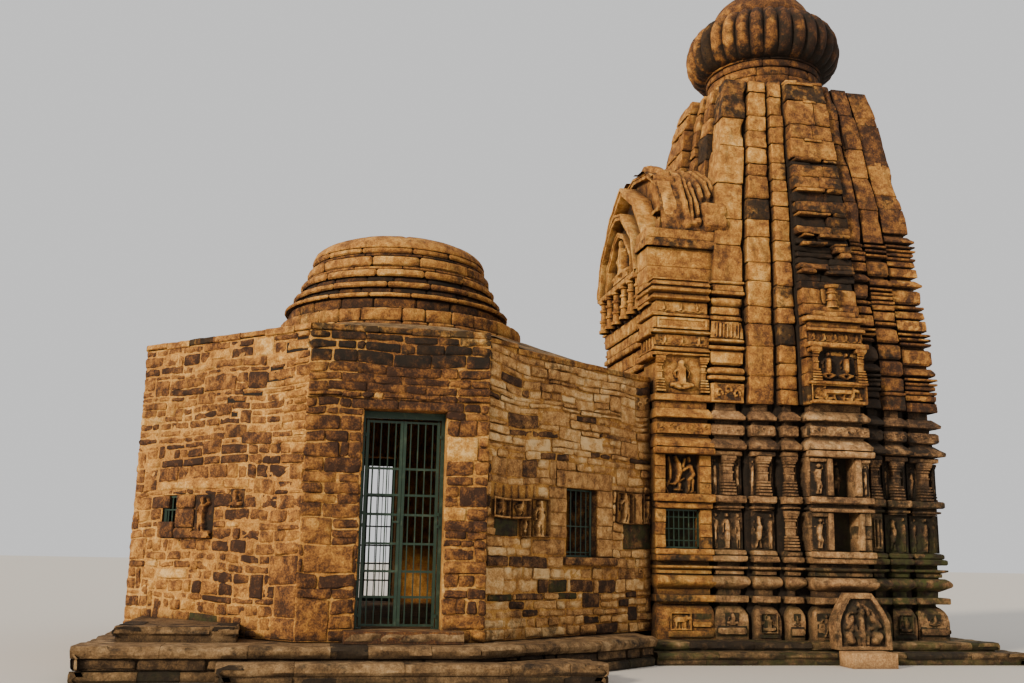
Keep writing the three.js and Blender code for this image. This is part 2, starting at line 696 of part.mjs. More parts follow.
// Neck, ribbed disc and crown
const neckProfile = [[0, SPIRE_TOP], [1100, SPIRE_TOP], [1080, 10740], [1120, DISC_LOW], [0, DISC_LOW]];
piece("neck", turned(neckProfile, DISC_X, 0, 48));
const RIBS = 32;
const RIB_POINTS = 4;
const RIB_DEPTH = 0.035;
function ribbed(radius, z) {
  const count = RIBS * RIB_POINTS;
  return {
    z,
    points: Array.from({ length: count }, (_, i) => {
      const turn = (i / count) * Math.PI * 2;
      const swell = 1 - RIB_DEPTH * (1 - Math.abs(Math.sin((turn * RIBS) / 2)));
      return [DISC_X + radius * swell * Math.cos(turn), radius * swell * Math.sin(turn)];
    }),
  };
}
piece("ribbed_disc", loft([
  ribbed(1140, DISC_LOW),
  ribbed(1350, 10920),
  ribbed(1455, 11090),
  ribbed(1480, 11250),
  ribbed(1430, 11500),
  ribbed(1310, 11680),
  ribbed(1100, 11800),
  ribbed(1000, DISC_TOP),
]));
const crownProfile = [
  [0, DISC_TOP],
  [960, DISC_TOP],
  [970, 11960],
  [930, 12090],
  [820, 12250],
  [660, 12390],
  [560, 12500],
  [400, 12600],
  [240, 12650],
  [170, 12710],
  [235, 12800],
  [250, 12880],
  [200, 12970],
  [90, 13040],
  [60, 13120],
  [0, 13160],
];
piece("crown", turned(crownProfile, DISC_X, 0, 32));

// The gate: a fixed frame with pivot pins, and two barred leaves
const gateY = -(HALL_FRONT - GATE_SETBACK);
const gateLeft = DOOR_LEFT + POST;
const gateRight = DOOR_RIGHT - POST;
const hingeLeft = gateLeft + HINGE_CLEAR;
const hingeRight = gateRight - HINGE_CLEAR;
const leafLow = FLOOR + GATE_FOOT;
const leafHigh = DOOR_TOP - HEAD_BEAM - GATE_FOOT;
function pin(x, y, z0, z1) {
  const geometry = new THREE.CylinderGeometry(PIN_RADIUS, PIN_RADIUS, z1 - z0, 16);
  geometry.rotateX(Math.PI / 2);
  geometry.translate(x, y, (z0 + z1) / 2);
  return solidOf(geometry);
}
function gateFrame(y) {
  const shoe = (x) => box(x - STILE / 2, x + STILE / 2, y - STILE / 2, y + STILE / 2, FLOOR, leafLow - PIN_HEIGHT);
  const half = POST / 2;
  return join([
    box(DOOR_LEFT, gateLeft, y - half, y + half, FLOOR, DOOR_TOP),
    box(gateRight, DOOR_RIGHT, y - half, y + half, FLOOR, DOOR_TOP),
    box(DOOR_LEFT, DOOR_RIGHT, y - half, y + half, DOOR_TOP - HEAD_BEAM, DOOR_TOP),
    box(DOOR_LEFT, hingeLeft + STILE / 2, y - half, y + half, FLOOR, leafLow - PIN_HEIGHT),
    box(hingeRight - STILE / 2, DOOR_RIGHT, y - half, y + half, FLOOR, leafLow - PIN_HEIGHT),
    pin(hingeLeft, y, leafLow - PIN_HEIGHT - 5, leafLow - JOINT),
    pin(hingeRight, y, leafLow - PIN_HEIGHT - 5, leafLow - JOINT),
    pin(hingeLeft, y, leafHigh + JOINT, DOOR_TOP - HEAD_BEAM + 5),
    pin(hingeRight, y, leafHigh + JOINT, DOOR_TOP - HEAD_BEAM + 5),
  ]);
}
piece("gate_frame", gateFrame(gateY), steel);

function leaf(x0, x1, y) {
  const half = STILE / 2;
  const parts = [
    box(x0, x0 + STILE, y - half, y + half, leafLow, leafHigh),
    box(x1 - STILE, x1, y - half, y + half, leafLow, leafHigh),
  ];
  for (const rail of RAILS) {
    const z = Math.min(leafLow + rail, leafHigh - RAIL_DEEP);
    parts.push(box(x0 + 5, x1 - 5, y - BAR / 2, y + BAR / 2, z, z + RAIL_DEEP));
  }
  const bars = Math.round((x1 - x0) / BAR_SPACING) - 1;
  for (let i = 1; i <= bars; i++) {
    const x = x0 + ((x1 - x0) * i) / (bars + 1);
    parts.push(box(x - BAR / 2, x + BAR / 2, y - 6, y + 6, leafLow + 5, leafHigh - 5));
  }
  return join(parts);
}
const gateMiddle = (gateLeft + gateRight) / 2;
piece("gate_leaf_left", leaf(hingeLeft - STILE / 2, gateMiddle - LEAF_GAP / 2, gateY), steel);
piece("gate_leaf_right", leaf(gateMiddle + LEAF_GAP / 2, hingeRight + STILE / 2, gateY), steel);

// Fixed gates of the same make close the other two doorways
function fixedGate(x0, x1, y) {
  const half = POST / 2;
  const clear = STILE / 2;
  return join([
    box(x0, x0 + POST, y - half, y + half, FLOOR, DOOR_TOP),
    box(x1 - POST, x1, y - half, y + half, FLOOR, DOOR_TOP),
    box(x0, x1, y - half, y + half, DOOR_TOP - HEAD_BEAM, DOOR_TOP),
    box(x0, x1, y - half, y + half, FLOOR, leafLow),
    leaf(x0 + POST - clear, (x0 + x1) / 2 + clear, y),
    leaf((x0 + x1) / 2 - clear, x1 - POST + clear, y),
    box(x0 + POST - clear, x1 - POST + clear, y - clear, y + clear, leafHigh - 5, leafHigh + GATE_FOOT + 5),
  ]);
}
piece("back_gate", fixedGate(DOOR_LEFT, DOOR_RIGHT, -gateY), steel);
const westGate = fixedGate(-WEST_DOOR_HALF, WEST_DOOR_HALF, 0);
piece("west_gate", westGate.rotate([0, 0, 90]).translate([WEST_X + GATE_SETBACK, 0, 0]), steel);

export default temple;
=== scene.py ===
"""Looks of the stone temple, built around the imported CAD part.

Metres, +Z up. The gate faces -Y, and +X runs from the hall to the tower.
"""

import math
import random

import bpy
import numpy as np
from mathutils import Matrix, Vector, noise


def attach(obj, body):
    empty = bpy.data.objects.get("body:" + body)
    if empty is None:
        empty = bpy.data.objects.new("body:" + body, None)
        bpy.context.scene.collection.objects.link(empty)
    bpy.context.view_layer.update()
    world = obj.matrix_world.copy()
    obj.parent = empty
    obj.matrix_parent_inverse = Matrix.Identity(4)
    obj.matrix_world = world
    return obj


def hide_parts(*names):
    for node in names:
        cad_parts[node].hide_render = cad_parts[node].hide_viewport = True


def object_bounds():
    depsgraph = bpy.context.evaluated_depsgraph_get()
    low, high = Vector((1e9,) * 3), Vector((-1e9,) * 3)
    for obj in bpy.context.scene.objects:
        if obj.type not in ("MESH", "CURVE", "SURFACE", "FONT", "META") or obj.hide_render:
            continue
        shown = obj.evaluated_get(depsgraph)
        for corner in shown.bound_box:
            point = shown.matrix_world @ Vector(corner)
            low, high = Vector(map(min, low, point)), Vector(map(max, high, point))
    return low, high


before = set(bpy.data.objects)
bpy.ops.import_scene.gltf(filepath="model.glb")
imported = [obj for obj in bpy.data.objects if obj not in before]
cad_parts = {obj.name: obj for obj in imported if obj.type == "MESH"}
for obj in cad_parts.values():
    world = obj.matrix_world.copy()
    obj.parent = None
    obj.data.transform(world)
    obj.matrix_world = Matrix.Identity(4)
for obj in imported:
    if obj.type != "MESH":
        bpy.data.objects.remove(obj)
cad_low, cad_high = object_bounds()

# Nothing of the looks passes the built part's box
BOX_LOW, BOX_HIGH = np.array(cad_low) + (0.001, 0.001, 0.0), np.array(cad_high) - 0.001

# The camera, solved from the photograph's wall corners and mouldings
EYE = Vector((-1.208, -18.073, 1.586))
YAW, PITCH, ROLL = math.radians(10.991), math.radians(11.337), math.radians(1.15)
LENS, SENSOR = 36.914, 36.0

# Driving sizes of the built part, in metres
WALL_BASE, FLOOR_TOP, DOOR_TOP = 0.42, 0.57, 3.42
WALL_TOP, COPING_TOP = 4.45, 4.55
COPING_WIDE, COPING_BACK = 0.42, -0.72
HALL_FRONT, FRONT_HALF, PIER_STEP = 4.073, 1.215, 0.12
WEST_X, WEST_HALF = -3.634, 1.654
ANTE_X, ANTE_END, ANTE_HALF = 4.29, 5.29, 2.03
RIGHT_WALL_END = 1.719
DOOR_LEFT, DOOR_RIGHT, WEST_DOOR_HALF = -0.48, 0.65, 0.565
DOME_X, DRUM_X = 0.24, 0.33
TOWER_X, TOWER_FOOT, WALL_HEAD, TOWER_TOP = 7.27, 0.32, 4.05, 10.09
CORNER = 2.03
PLANES = ((1.435, 2.13), (0.925, 2.23), (0.555, 2.43))
CELL_HALF = 1.2
PLINTH_WEST = 4.01
DISC_X = 7.24

# The spire's half width at each level
SPIRE_CURVE = ((4.05, 2.03), (5.0, 2.01), (6.3, 1.895), (7.55, 1.80), (8.7, 1.61), (9.5, 1.50), (10.09, 1.37))

UP = Vector((0, 0, 1))
TINT = "stone_tint"


def smooth_step(value):
    """A smooth rise from 0 to 1 as the value does, and flat beyond."""
    value = min(1.0, max(0.0, value))
    return value * value * (3 - 2 * value)


def rough(point, scale, seed=0.0):
    """Smooth noise of about -1 to 1 at a place, with no image and no random state."""
    return noise.noise(Vector(point) * scale + Vector((seed, seed * 1.7, -seed)))


def along_table(table, at):
    """A value read off a table of (place, value) pairs, in straight lines between them."""
    places, values = zip(*table)
    return float(np.interp(at, places, values))


# Materials


class Nodes:
    """Short calls for building a shader."""

    def __init__(self, name):
        self.material = bpy.data.materials.new(name)
        self.material.use_nodes = True
        self.tree = self.material.node_tree
        self.shader = self.tree.nodes["Principled BSDF"]

    def add(self, kind, inputs=(), **settings):
        """A node with its settings, and its inputs as values or as sockets of other nodes."""
        node = self.tree.nodes.new(kind)
        for key, value in settings.items():
            setattr(node, key, value)
        for key, value in dict(inputs).items():
            self.put(node.inputs[key], value)
        return node

    def put(self, socket, value):
        """Links a socket to another node's, or gives it a plain value."""
        if isinstance(value, bpy.types.NodeSocket):
            self.tree.links.new(value, socket)
        else:
            socket.default_value = value

    def math(self, operation, a, b=0.0, clamp=False):
        """The result of a sum or the like."""
        return self.add("ShaderNodeMath", {0: a, 1: b}, operation=operation, use_clamp=clamp).outputs[0]

    def range(self, value, low, high, to_low=0.0, to_high=1.0):
        """A smooth rise from one value to another while the input goes from low to high."""
        inputs = {"Value": value, "From Min": low, "From Max": high, "To Min": to_low, "To Max": to_high}
        return self.add("ShaderNodeMapRange", inputs, interpolation_type="SMOOTHSTEP").outputs["Result"]

    def noise(self, scale, detail=3.0, roughness=0.55, stretch=(1, 1, 1), seed=0.0):
        """Noise over the object's own place."""
        place = self.add("ShaderNodeTexCoord").outputs["Object"]
        mapping = self.add("ShaderNodeMapping", {"Vector": place, "Scale": stretch,
                                                 "Location": (seed, seed, seed)})
        inputs = {"Vector": mapping.outputs[0], "Scale": scale, "Detail": detail, "Roughness": roughness}
        return self.add("ShaderNodeTexNoise", inputs).outputs["Fac"]

    def mix(self, factor, a, b):
        """A blend of two colours."""
        node = self.add("ShaderNodeMix", data_type="RGBA")
        self.put(node.inputs[0], factor)
        self.put(node.inputs[6], a)
        self.put(node.inputs[7], b)
        return node.outputs[2]

    def ramp(self, value, stops):
        """A colour read off stops of (place, colour)."""
        node = self.add("ShaderNodeValToRGB", {"Fac": value})
        ends = node.color_ramp.elements
        for end, (place, colour) in ((ends[0], stops[0]), (ends[1], stops[-1])):
            end.position, end.color = place, (*colour, 1)
        for place, colour in stops[1:-1]:
            ends.new(place).color = (*colour, 1)
        return node.outputs["Color"]

    def bump(self, height, strength, distance, normal=None):
        """A bumped normal, over another one where that is given."""
        inputs = {"Height": height, "Strength": strength, "Distance": distance}
        if normal is not None:
            inputs["Normal"] = normal
        return self.add("ShaderNodeBump", inputs).outputs["Normal"]


# Sandstone from purple-brown through ochre to pale yellow
OCHRES = ((0.0, (0.045, 0.022, 0.013)), (0.20, (0.12, 0.050, 0.020)), (0.40, (0.275, 0.115, 0.030)),
          (0.60, (0.46, 0.210, 0.045)), (0.80, (0.62, 0.33, 0.085)), (1.0, (0.78, 0.50, 0.19)))
# The same stone where rain and smoke have greyed it
AGED_OCHRES = ((0.0, (0.040, 0.024, 0.015)), (0.20, (0.100, 0.054, 0.028)), (0.40, (0.225, 0.118, 0.052)),
               (0.60, (0.395, 0.215, 0.090)), (0.80, (0.560, 0.335, 0.150)), (1.0, (0.720, 0.500, 0.270)))
# The right walls' stone, which lies between the two
WARM_OCHRES = ((0.0, (0.048, 0.026, 0.015)), (0.20, (0.128, 0.060, 0.027)), (0.40, (0.295, 0.136, 0.045)),
               (0.60, (0.500, 0.248, 0.076)), (0.80, (0.670, 0.370, 0.128)), (1.0, (0.820, 0.540, 0.245)))
# The paving's slabs
SLAB_OCHRES = ((0.0, (0.050, 0.030, 0.016)), (0.4, (0.20, 0.115, 0.050)), (0.7, (0.36, 0.225, 0.105)),
               (1.0, (0.52, 0.36, 0.19)))
BLACK = (0.020, 0.015, 0.011, 1)
MOSS = (0.055, 0.060, 0.017, 1)


def stone_material(name, lightness=None, mottle=0.5, streaks=0.35, bump=0.5, stops=OCHRES, crevice_shade=0.8,
                   hollow=0.20):
    """Weathered sandstone with painted shade in its crevices. Its tint is read from the corners, or is even
    where lightness is given.
    """
    n = Nodes(name)
    broad = n.noise(0.9, 4, 0.6, seed=3)
    patch = n.noise(6.5, 6, 0.66, seed=11)
    grain = n.noise(46, 5, 0.7, seed=7)
    if lightness is None:
        tint = n.add("ShaderNodeAttribute", attribute_name=TINT)
        parts = n.add("ShaderNodeSeparateColor", {"Color": tint.outputs["Color"]})
        light, stain, green = parts.outputs
    else:
        light, stain, green = lightness, 0.08, 0.0
    open_sky = n.add("ShaderNodeAmbientOcclusion", {"Distance": hollow}, samples=5).outputs["AO"]
    # painted shade: closed grows where ambient occlusion finds a crevice or hollow, and darkens the tone
    # there
    closed = n.range(open_sky, 0.88, 0.32)
    tone = n.math("ADD", light, n.range(patch, 0.3, 0.7, -0.34 * mottle, 0.34 * mottle))
    tone = n.math("ADD", tone, n.range(broad, 0.3, 0.7, -0.12, 0.12))
    tone = n.math("SUBTRACT", tone, n.math("MULTIPLY", closed, 0.16))
    tone = n.math("ADD", tone, n.range(grain, 0.3, 0.7, -0.17, 0.17), clamp=True)
    colour = n.ramp(tone, stops)
    run = n.noise(2.6, 5, 0.65, stretch=(2.2, 2.2, 0.55), seed=19)
    soot = n.math("MULTIPLY", n.range(run, 0.50, 0.68), streaks)
    spots = n.math("MULTIPLY", n.range(n.noise(13, 5, 0.7, seed=23), 0.54, 0.66, 0.0, 0.5), streaks)
    blotch = n.math("ADD", stain, n.range(n.noise(4.2, 6, 0.7, seed=41), 0.3, 0.7, -0.36, 0.36))
    stained = n.range(blotch, 0.22, 0.80, 0.0, 0.93)
    dirt_and_shade = n.math("ADD", n.math("MAXIMUM", soot, stained), spots)
    # painted crevice shade, which blackens the hollows along with the soot and stains
    painted_crevice_shade = n.math("MULTIPLY", closed, n.range(patch, 0.3, 0.65, crevice_shade * 0.6, crevice_shade))
    dirt_and_shade = n.math("MAXIMUM", dirt_and_shade, painted_crevice_shade, clamp=True)
    colour = n.mix(dirt_and_shade, colour, BLACK)
    mossy = n.math("MULTIPLY", green, n.range(n.noise(7, 5, 0.65, seed=31), 0.36, 0.62), clamp=True)
    colour = n.mix(mossy, colour, MOSS)
    n.put(n.shader.inputs["Base Color"], colour)
    n.shader.inputs["Roughness"].default_value = 0.9
    n.shader.inputs["Specular IOR Level"].default_value = 0.2
    low = n.bump(patch, bump * 0.8, 0.04)
    fine = n.bump(grain, bump, 0.016, low)
    n.put(n.shader.inputs["Normal"], fine)
    return n.material


def steel_material():
    """Dark green paint, worn lighter on patches."""
    n = Nodes("gate_green")
    worn = n.range(n.noise(9, 5, 0.7, seed=5), 0.52, 0.68)
    colour = n.mix(worn, (0.016, 0.038, 0.022, 1), (0.050, 0.078, 0.048, 1))
    n.put(n.shader.inputs["Base Color"], colour)
    n.put(n.shader.inputs["Roughness"], n.math("ADD", 0.42, n.math("MULTIPLY", worn, 0.25)))
    n.shader.inputs["Metallic"].default_value = 0.25
    return n.material


carved = stone_material("golden_sandstone", mottle=0.65, streaks=0.40, bump=0.9, crevice_shade=0.97, hollow=0.30)
aged = stone_material("aged_sandstone", mottle=0.65, streaks=0.45, bump=0.9, crevice_shade=0.92, hollow=0.26,
                      stops=AGED_OCHRES)
tan_block = stone_material("tan_sandstone", lightness=0.60, mottle=0.30, streaks=0.30, bump=0.6,
                           stops=AGED_OCHRES)
walling = stone_material("wall_sandstone", mottle=0.75, streaks=0.30, bump=1.0)
# Painted light: the right walls' own copy of the walling, paler and greyer, for walls the key light misses
painted_light_walling = stone_material("painted_light_wall_sandstone", mottle=0.75, streaks=0.30, bump=1.0,
                                stops=WARM_OCHRES)
mortar = stone_material("ochre_mortar", lightness=0.64, mottle=0.35, streaks=0.25, bump=0.8)
dull_mortar = stone_material("brown_mortar", lightness=0.60, mottle=0.5, streaks=0.4, bump=0.8)
paving = stone_material("paving_sandstone", mottle=0.7, streaks=0.4, bump=1.0, stops=SLAB_OCHRES)
over_door_mortar = stone_material("dark_mortar", lightness=0.36, mottle=0.5, streaks=0.5, bump=0.8)
# Painted shade: the low lightness of the stone inside the cell and the antechamber
inner = stone_material("inner_shade_sandstone", lightness=0.30, mottle=0.5, streaks=0.3)
# Painted shade: a near-black stone for the thresholds under the slabs
shade = stone_material("recess_shade_sandstone", lightness=0.16, mottle=0.4, streaks=0.6)
plain_paving = stone_material("plain_paving", lightness=0.40, stops=SLAB_OCHRES)
steel = steel_material()
# Painted shade: the dark tint of the cores behind the dome's rings and of hollows seen from inside
SHADED_HOLLOW_TINT = (0.30, 0.35, 0.0)


def ramp_between(values, low, high):
    """A smooth rise from 0 at low to 1 at high, for arrays. Low may be the larger one."""
    share = np.clip((values - low) / (high - low), 0, 1)
    return share * share * (3 - 2 * share)


def band(values, low, high, soft):
    """About 1 between low and high, falling to 0 over a soft edge."""
    return ramp_between(values, low - soft, low + soft) * ramp_between(values, high + soft, high - soft)


def weathered(points, tints):
    """Adds the soot, damp and moss that lie across the stones, by their place on the temple, and painted
    shade on the side of the neck and the disc away from the hall.
    """
    x, y, z = points.T
    tints = np.array(tints, float)
    cloud = np.array([noise.noise(Vector(p) * 0.75) for p in points]) * 1.3
    fleck = np.array([noise.noise(Vector(p) * 2.3 + Vector((9, 2, 5))) for p in points]) * 1.3
    light, stain, green = np.zeros(len(x)), np.zeros(len(x)), np.zeros(len(x))
    # the hall's walls: soot under the front's roof, damp on the slanted right walls and along the foot
    hall = ramp_between(x, 4.32, 4.26) * ramp_between(z, 4.75, 4.50)
    facing = ramp_between(np.abs(y), 3.85, 3.98) * (np.abs(x) < 1.25)
    stain += hall * facing * (0.62 * ramp_between(z + 0.2 * cloud, 3.60, 4.30))
    slanted_right = hall * (x > 1.2) * (np.abs(y) < 3.96)
    under_roof, at_foot = ramp_between(z + 0.3 * cloud, 3.9, 4.45), ramp_between(z, 1.35, 0.7)
    stain += slanted_right * (0.25 * under_roof + 0.15 * at_foot)
    stain += hall * 0.25 * ramp_between(z, 0.95, 0.45) * (0.5 + fleck)
    # the dome, all but its pale cap
    domed = (x < 2.6) * ramp_between(z, 4.56, 4.75)
    light -= domed * 0.05
    stain += domed * (0.12 + 0.30 * cloud + 0.12 * fleck) * ramp_between(z, 6.5, 6.2)
    # the neck and the disc: darker and stained, with painted shade on the side away from the hall that the
    # key light misses
    head = z > 10.05
    painted_lit_side = ramp_between(x, TOWER_X - 0.5, TOWER_X - 1.2)
    light -= head * (0.30 - 0.26 * painted_lit_side)
    stain += head * (0.20 - 0.16 * painted_lit_side + 0.06 * fleck) * ramp_between(z, 11.9, 11.6)
    # the tower: its wall, the right half of a side, the dark bands on the middle piers and the spire's head
    tower = ramp_between(x, 4.24, 4.30) * (z > 0.33)
    along = x - TOWER_X
    front = (y < -1.1) | (y > 1.1)
    lower = ramp_between(z, 4.3, 3.5)
    light -= tower * lower * 0.05
    stain += tower * lower * (0.10 + 0.22 * fleck)
    right = ramp_between(along, 0.45, 0.75) * front
    light -= tower * right * 0.12
    stain += tower * right * (0.14 + 0.10 * cloud + 0.16 * lower)
    middle, beside = tower * front * band(along, -0.60, 0.60, 0.04), tower * front * band(along, 0.57, 0.95,
                                                                                          0.02)
    stain += middle * (0.32 * band(z, 6.0, 9.0, 0.7) * (0.75 + fleck) + 0.10 * lower)
    stain += beside * 0.75 * band(z, 3.3, 5.0, 0.5)
    stain += tower * ramp_between(z, 8.6, 10.0) * (0.08 + 0.14 * fleck)
    # moss that climbs from the tower's foot, and the east side's stain
    damp = ramp_between(z, 3.4, 0.7) * (0.35 + 0.65 * ramp_between(along, -0.4, 1.2))
    green += tower * damp * (0.30 + 0.6 * cloud)
    east = ramp_between(along, 1.9, 2.2)
    stain += tower * east * (0.14 + 0.2 * cloud)
    tints[:, 0] += light
    tints[:, 1] += np.maximum(stain, 0)
    tints[:, 2] += np.maximum(green, 0)
    return np.clip(tints, 0, 1)


class Heap:
    """Many stones that become one joined mesh, with a tint at every corner.

    A tint is (lightness, stain, green), each 0 to 1. The stain also darkens some hollows, grooves and grounds
    as painted shade."""

    def __init__(self):
        self.points, self.faces, self.tints, self.count = [], [], [], 0

    def grid(self, points, tint, wrap=False):
        """A sheet of quads over points[row][column]. Seen from outside, columns run right and rows run up."""
        rows, columns = points.shape[:2]
        index = np.arange(rows * columns).reshape(rows, columns) + self.count
        right = np.roll(index, -1, axis=1) if wrap else index[:, 1:]
        left = index if wrap else index[:, :-1]
        quads = np.stack([left[:-1], right[:-1], right[1:], left[1:]], axis=-1).reshape(-1, 4)
        self.points.append(points.reshape(-1, 3))
        self.faces.append(quads)
        tints = np.asarray(tint, float)
        self.tints.append(np.broadcast_to(tints.reshape(-1, 3), (rows * columns, 3)))
        self.count += rows * columns

    def build(self, name, material, slot, body="temple", sharp=38.0, instead_of=()):
        """Makes the piece, weathers its tints and tells the frame its body and replaced nodes. Its slot is
        not used.
        """
        points = np.clip(np.concatenate(self.points), BOX_LOW, BOX_HIGH)
        faces = np.concatenate(self.faces)
        mesh = bpy.data.meshes.new(name)
        mesh.from_pydata(points.tolist(), [], faces.tolist())
        tint = mesh.color_attributes.new(TINT, "FLOAT_COLOR", "POINT")
        colours = np.ones((len(points), 4), np.float32)
        # weathered also paints shade on the far side of the neck and the disc
        colours[:, :3] = weathered(points, np.concatenate(self.tints))
        tint.data.foreach_set("color", colours.ravel())
        mesh.materials.append(material)
        mesh.shade_smooth()
        mesh.set_sharp_from_angle(angle=math.radians(sharp))
        made = bpy.data.objects.new(name, mesh)
        bpy.context.scene.collection.objects.link(made)
        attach(made, body)
        if instead_of:
            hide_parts(*instead_of)
        return made


# Places: each turns (across, up, out) into a point. Seen from outside, across runs to the right.
def flat_place(start, along, out):
    start, along, out = Vector(start), Vector(along), Vector(out)

    def place(u, v, n):
        return start + along * u + UP * v + out * n

    return place


def wall_place(start, end):
    """A place on the upright plane from start to end, two points of the plan, with its length."""
    start, end = Vector((*start, 0)), Vector((*end, 0))
    along = (end - start).normalized()
    return flat_place(start, along, Vector((along.y, -along.x, 0))), (end - start).length


def round_place(x, y, radius):
    """A place on an upright cylinder: across is the length along it, from the -Y side."""

    def place(u, v, n):
        turn = u / radius - math.pi / 2
        return Vector((x + (radius + n) * math.cos(turn), y + (radius + n) * math.sin(turn), v))

    return place


def round_shell(heap, x, profile, count, look, y=0.0, way=1):
    """A round shell about an upright axis at (x, y), from rows of (radius, height) up its profile.

    The look is a tint, or a function of the bare place, its row and its column, which gives the shell's
    own radius and height there with a tint. Way is -1 for a shell that is seen from inside."""
    points = np.empty((len(profile), count, 3))
    tints = np.empty((len(profile), count, 3))
    for j, (radius, height) in enumerate(profile):
        for i in range(count):
            turn = way * math.tau * i / count
            across, along = math.cos(turn), math.sin(turn)
            out, up, tint = radius, height, look
            if callable(look):
                out, up, tint = look(Vector((radius * across, radius * along, height)), j, i)
            points[j, i] = (x + out * across, y + out * along, up)
            tints[j, i] = tint
    heap.grid(points, tints, wrap=True)


def edges(first, last, mean, rng, spread=0.3, least=0.5):
    """Cuts a length into stones of about the mean length."""
    cuts, at = [first], first
    while True:
        step = mean * rng.uniform(1 - spread, 1 + spread)
        if at + step > last - mean * least:
            break
        at += step
        cuts.append(at)
    cuts.append(last)
    return cuts


def stone(heap, place, u0, u1, v0, v1, rng, proud=0.02, back=-0.06, gap=0.005, bend=0.012, wobble=0.004,
          cells=(2, 1), tint=(0.5, 0.0, 0.0), tilt=0.006, skew=0.0, pillow=0.0):
    """One weathered stone: a rough face with rounded edges that turn back into the wall."""
    wide, high = u1 - u0 - 2 * gap, v1 - v0 - 2 * gap
    bend = min(bend, wide * 0.3, high * 0.3)
    across = [0, 0, *(bend + (wide - 2 * bend) * i / cells[0] for i in range(cells[0] + 1)), wide, wide]
    rise = [0, 0, *(bend + (high - 2 * bend) * i / cells[1] for i in range(cells[1] + 1)), high, high]
    last_u, last_v = len(across) - 1, len(rise) - 1
    lean_u, lean_v = rng.uniform(-tilt, tilt), rng.uniform(-tilt, tilt)
    corners = [(rng.uniform(-skew, skew), rng.uniform(-skew, skew)) for _ in range(4)]
    points = np.empty((last_v + 1, last_u + 1, 3))
    for j, dv in enumerate(rise):
        t = dv / high
        for i, du in enumerate(across):
            s = du / wide
            side = i in (0, last_u) or j in (0, last_v)
            rim = i in (1, last_u - 1) or j in (1, last_v - 1)
            shares = ((1 - s) * (1 - t), s * (1 - t), (1 - s) * t, s * t)
            u = u0 + gap + du + sum(w * c[0] for w, c in zip(shares, corners))
            v = v0 + gap + dv + sum(w * c[1] for w, c in zip(shares, corners))
            if i in (0, 1, last_u - 1, last_u) and j in (0, 1, last_v - 1, last_v):
                u += bend * 0.5 * (1 if s < 0.5 else -1)
                v += bend * 0.5 * (1 if t < 0.5 else -1)
            if side:
                points[j, i] = place(u, v, back)
                continue
            n = proud - (bend * 0.8 if rim else 0) + lean_u * (s - 0.5) * 2 + lean_v * (t - 0.5) * 2
            n += pillow * (1 - (2 * s - 1) ** 2) * (1 - (2 * t - 1) ** 2)
            here = place(u, v, n)
            points[j, i] = place(u + wobble * rough(here, 7, 3.1), v + wobble * rough(here, 7, 8.4),
                                 n + wobble * 1.8 * rough(here, 8) + wobble * 1.2 * rough(here, 24, 5.0))
    heap.grid(points, tint)


def stone_tint(rng, base=0.5, spread=0.22, dark=0.06, green=0.0):
    """A lightness with a chance of a dark stone."""
    stain = rng.uniform(0.45, 0.9) if rng.random() < dark else rng.uniform(0, 0.16)
    return (min(1, max(0, base + rng.uniform(-spread, spread))), stain, green * rng.random())


# The hall's walls


def runs(cuts):
    """Each cut with the next one."""
    return list(zip(cuts, cuts[1:]))


def stops_between(first, last, fixed):
    """The ends of a height and the fixed levels between them."""
    return runs(sorted({first, last, *(v for v in fixed if first < v < last)}))


def levels_with(first, last, mean, rng):
    """Course levels of about the mean height between first and last."""
    count = max(1, round((last - first) / mean))
    cuts = [first + (last - first) * (i + rng.uniform(-0.16, 0.16)) / count for i in range(1, count)]
    return [first, *cuts, last]


def free_spans(low, high, length, holes):
    """The stretches of a course that no hole meets."""
    spans = [(0.0, length)]
    middle = (low + high) / 2
    for u0, u1, v0, v1 in holes:
        if not v0 < middle < v1:
            continue
        cut = []
        for a, b in spans:
            if u0 > a:
                cut.append((a, min(b, u0)))
            if u1 < b:
                cut.append((max(a, u1), b))
        spans = [(a, b) for a, b in cut if b - a > 0.02]
    return spans


def courses(first, last, least, most, rng, fixed=()):
    """Unequal course levels between first and last that also meet the fixed levels."""
    levels = [first]
    for low, high in stops_between(first, last, fixed):
        count = max(1, round((high - low) / ((least + most) / 2)))
        rises = [rng.uniform(least, most) for _ in range(count)]
        share = (high - low) / sum(rises)
        for rise in rises[:-1]:
            levels.append(levels[-1] + rise * share)
        levels.append(high)
    return levels


def bedded(place, holes, seed, sag=None):
    """The same place with bedding lines that wander, but not at the openings or the wall's foot and head."""

    def bent(u, v, n):
        free = 1.0
        for u0, u1, v0, v1 in holes:
            away = max(u0 - u, u - u1, v0 - v, v - v1, 0.0)
            free = min(free, away / 0.45)
        free *= smooth_step((v - WALL_BASE) / 0.4) * smooth_step((WALL_TOP + 0.02 - v) / 0.35)
        lift = 0.05 * free * rough((u * 0.95, v * 0.8, seed), 1.0)
        if sag:
            lift -= sag(u) * smooth_step((v - 2.95) / 1.35)
        return place(u, v + lift, n)

    return bent


# The flat courses high in the walls: least and most height, mean length
FLAT_RISES = (0.07, 0.15)
FLAT_WIDE = 0.42


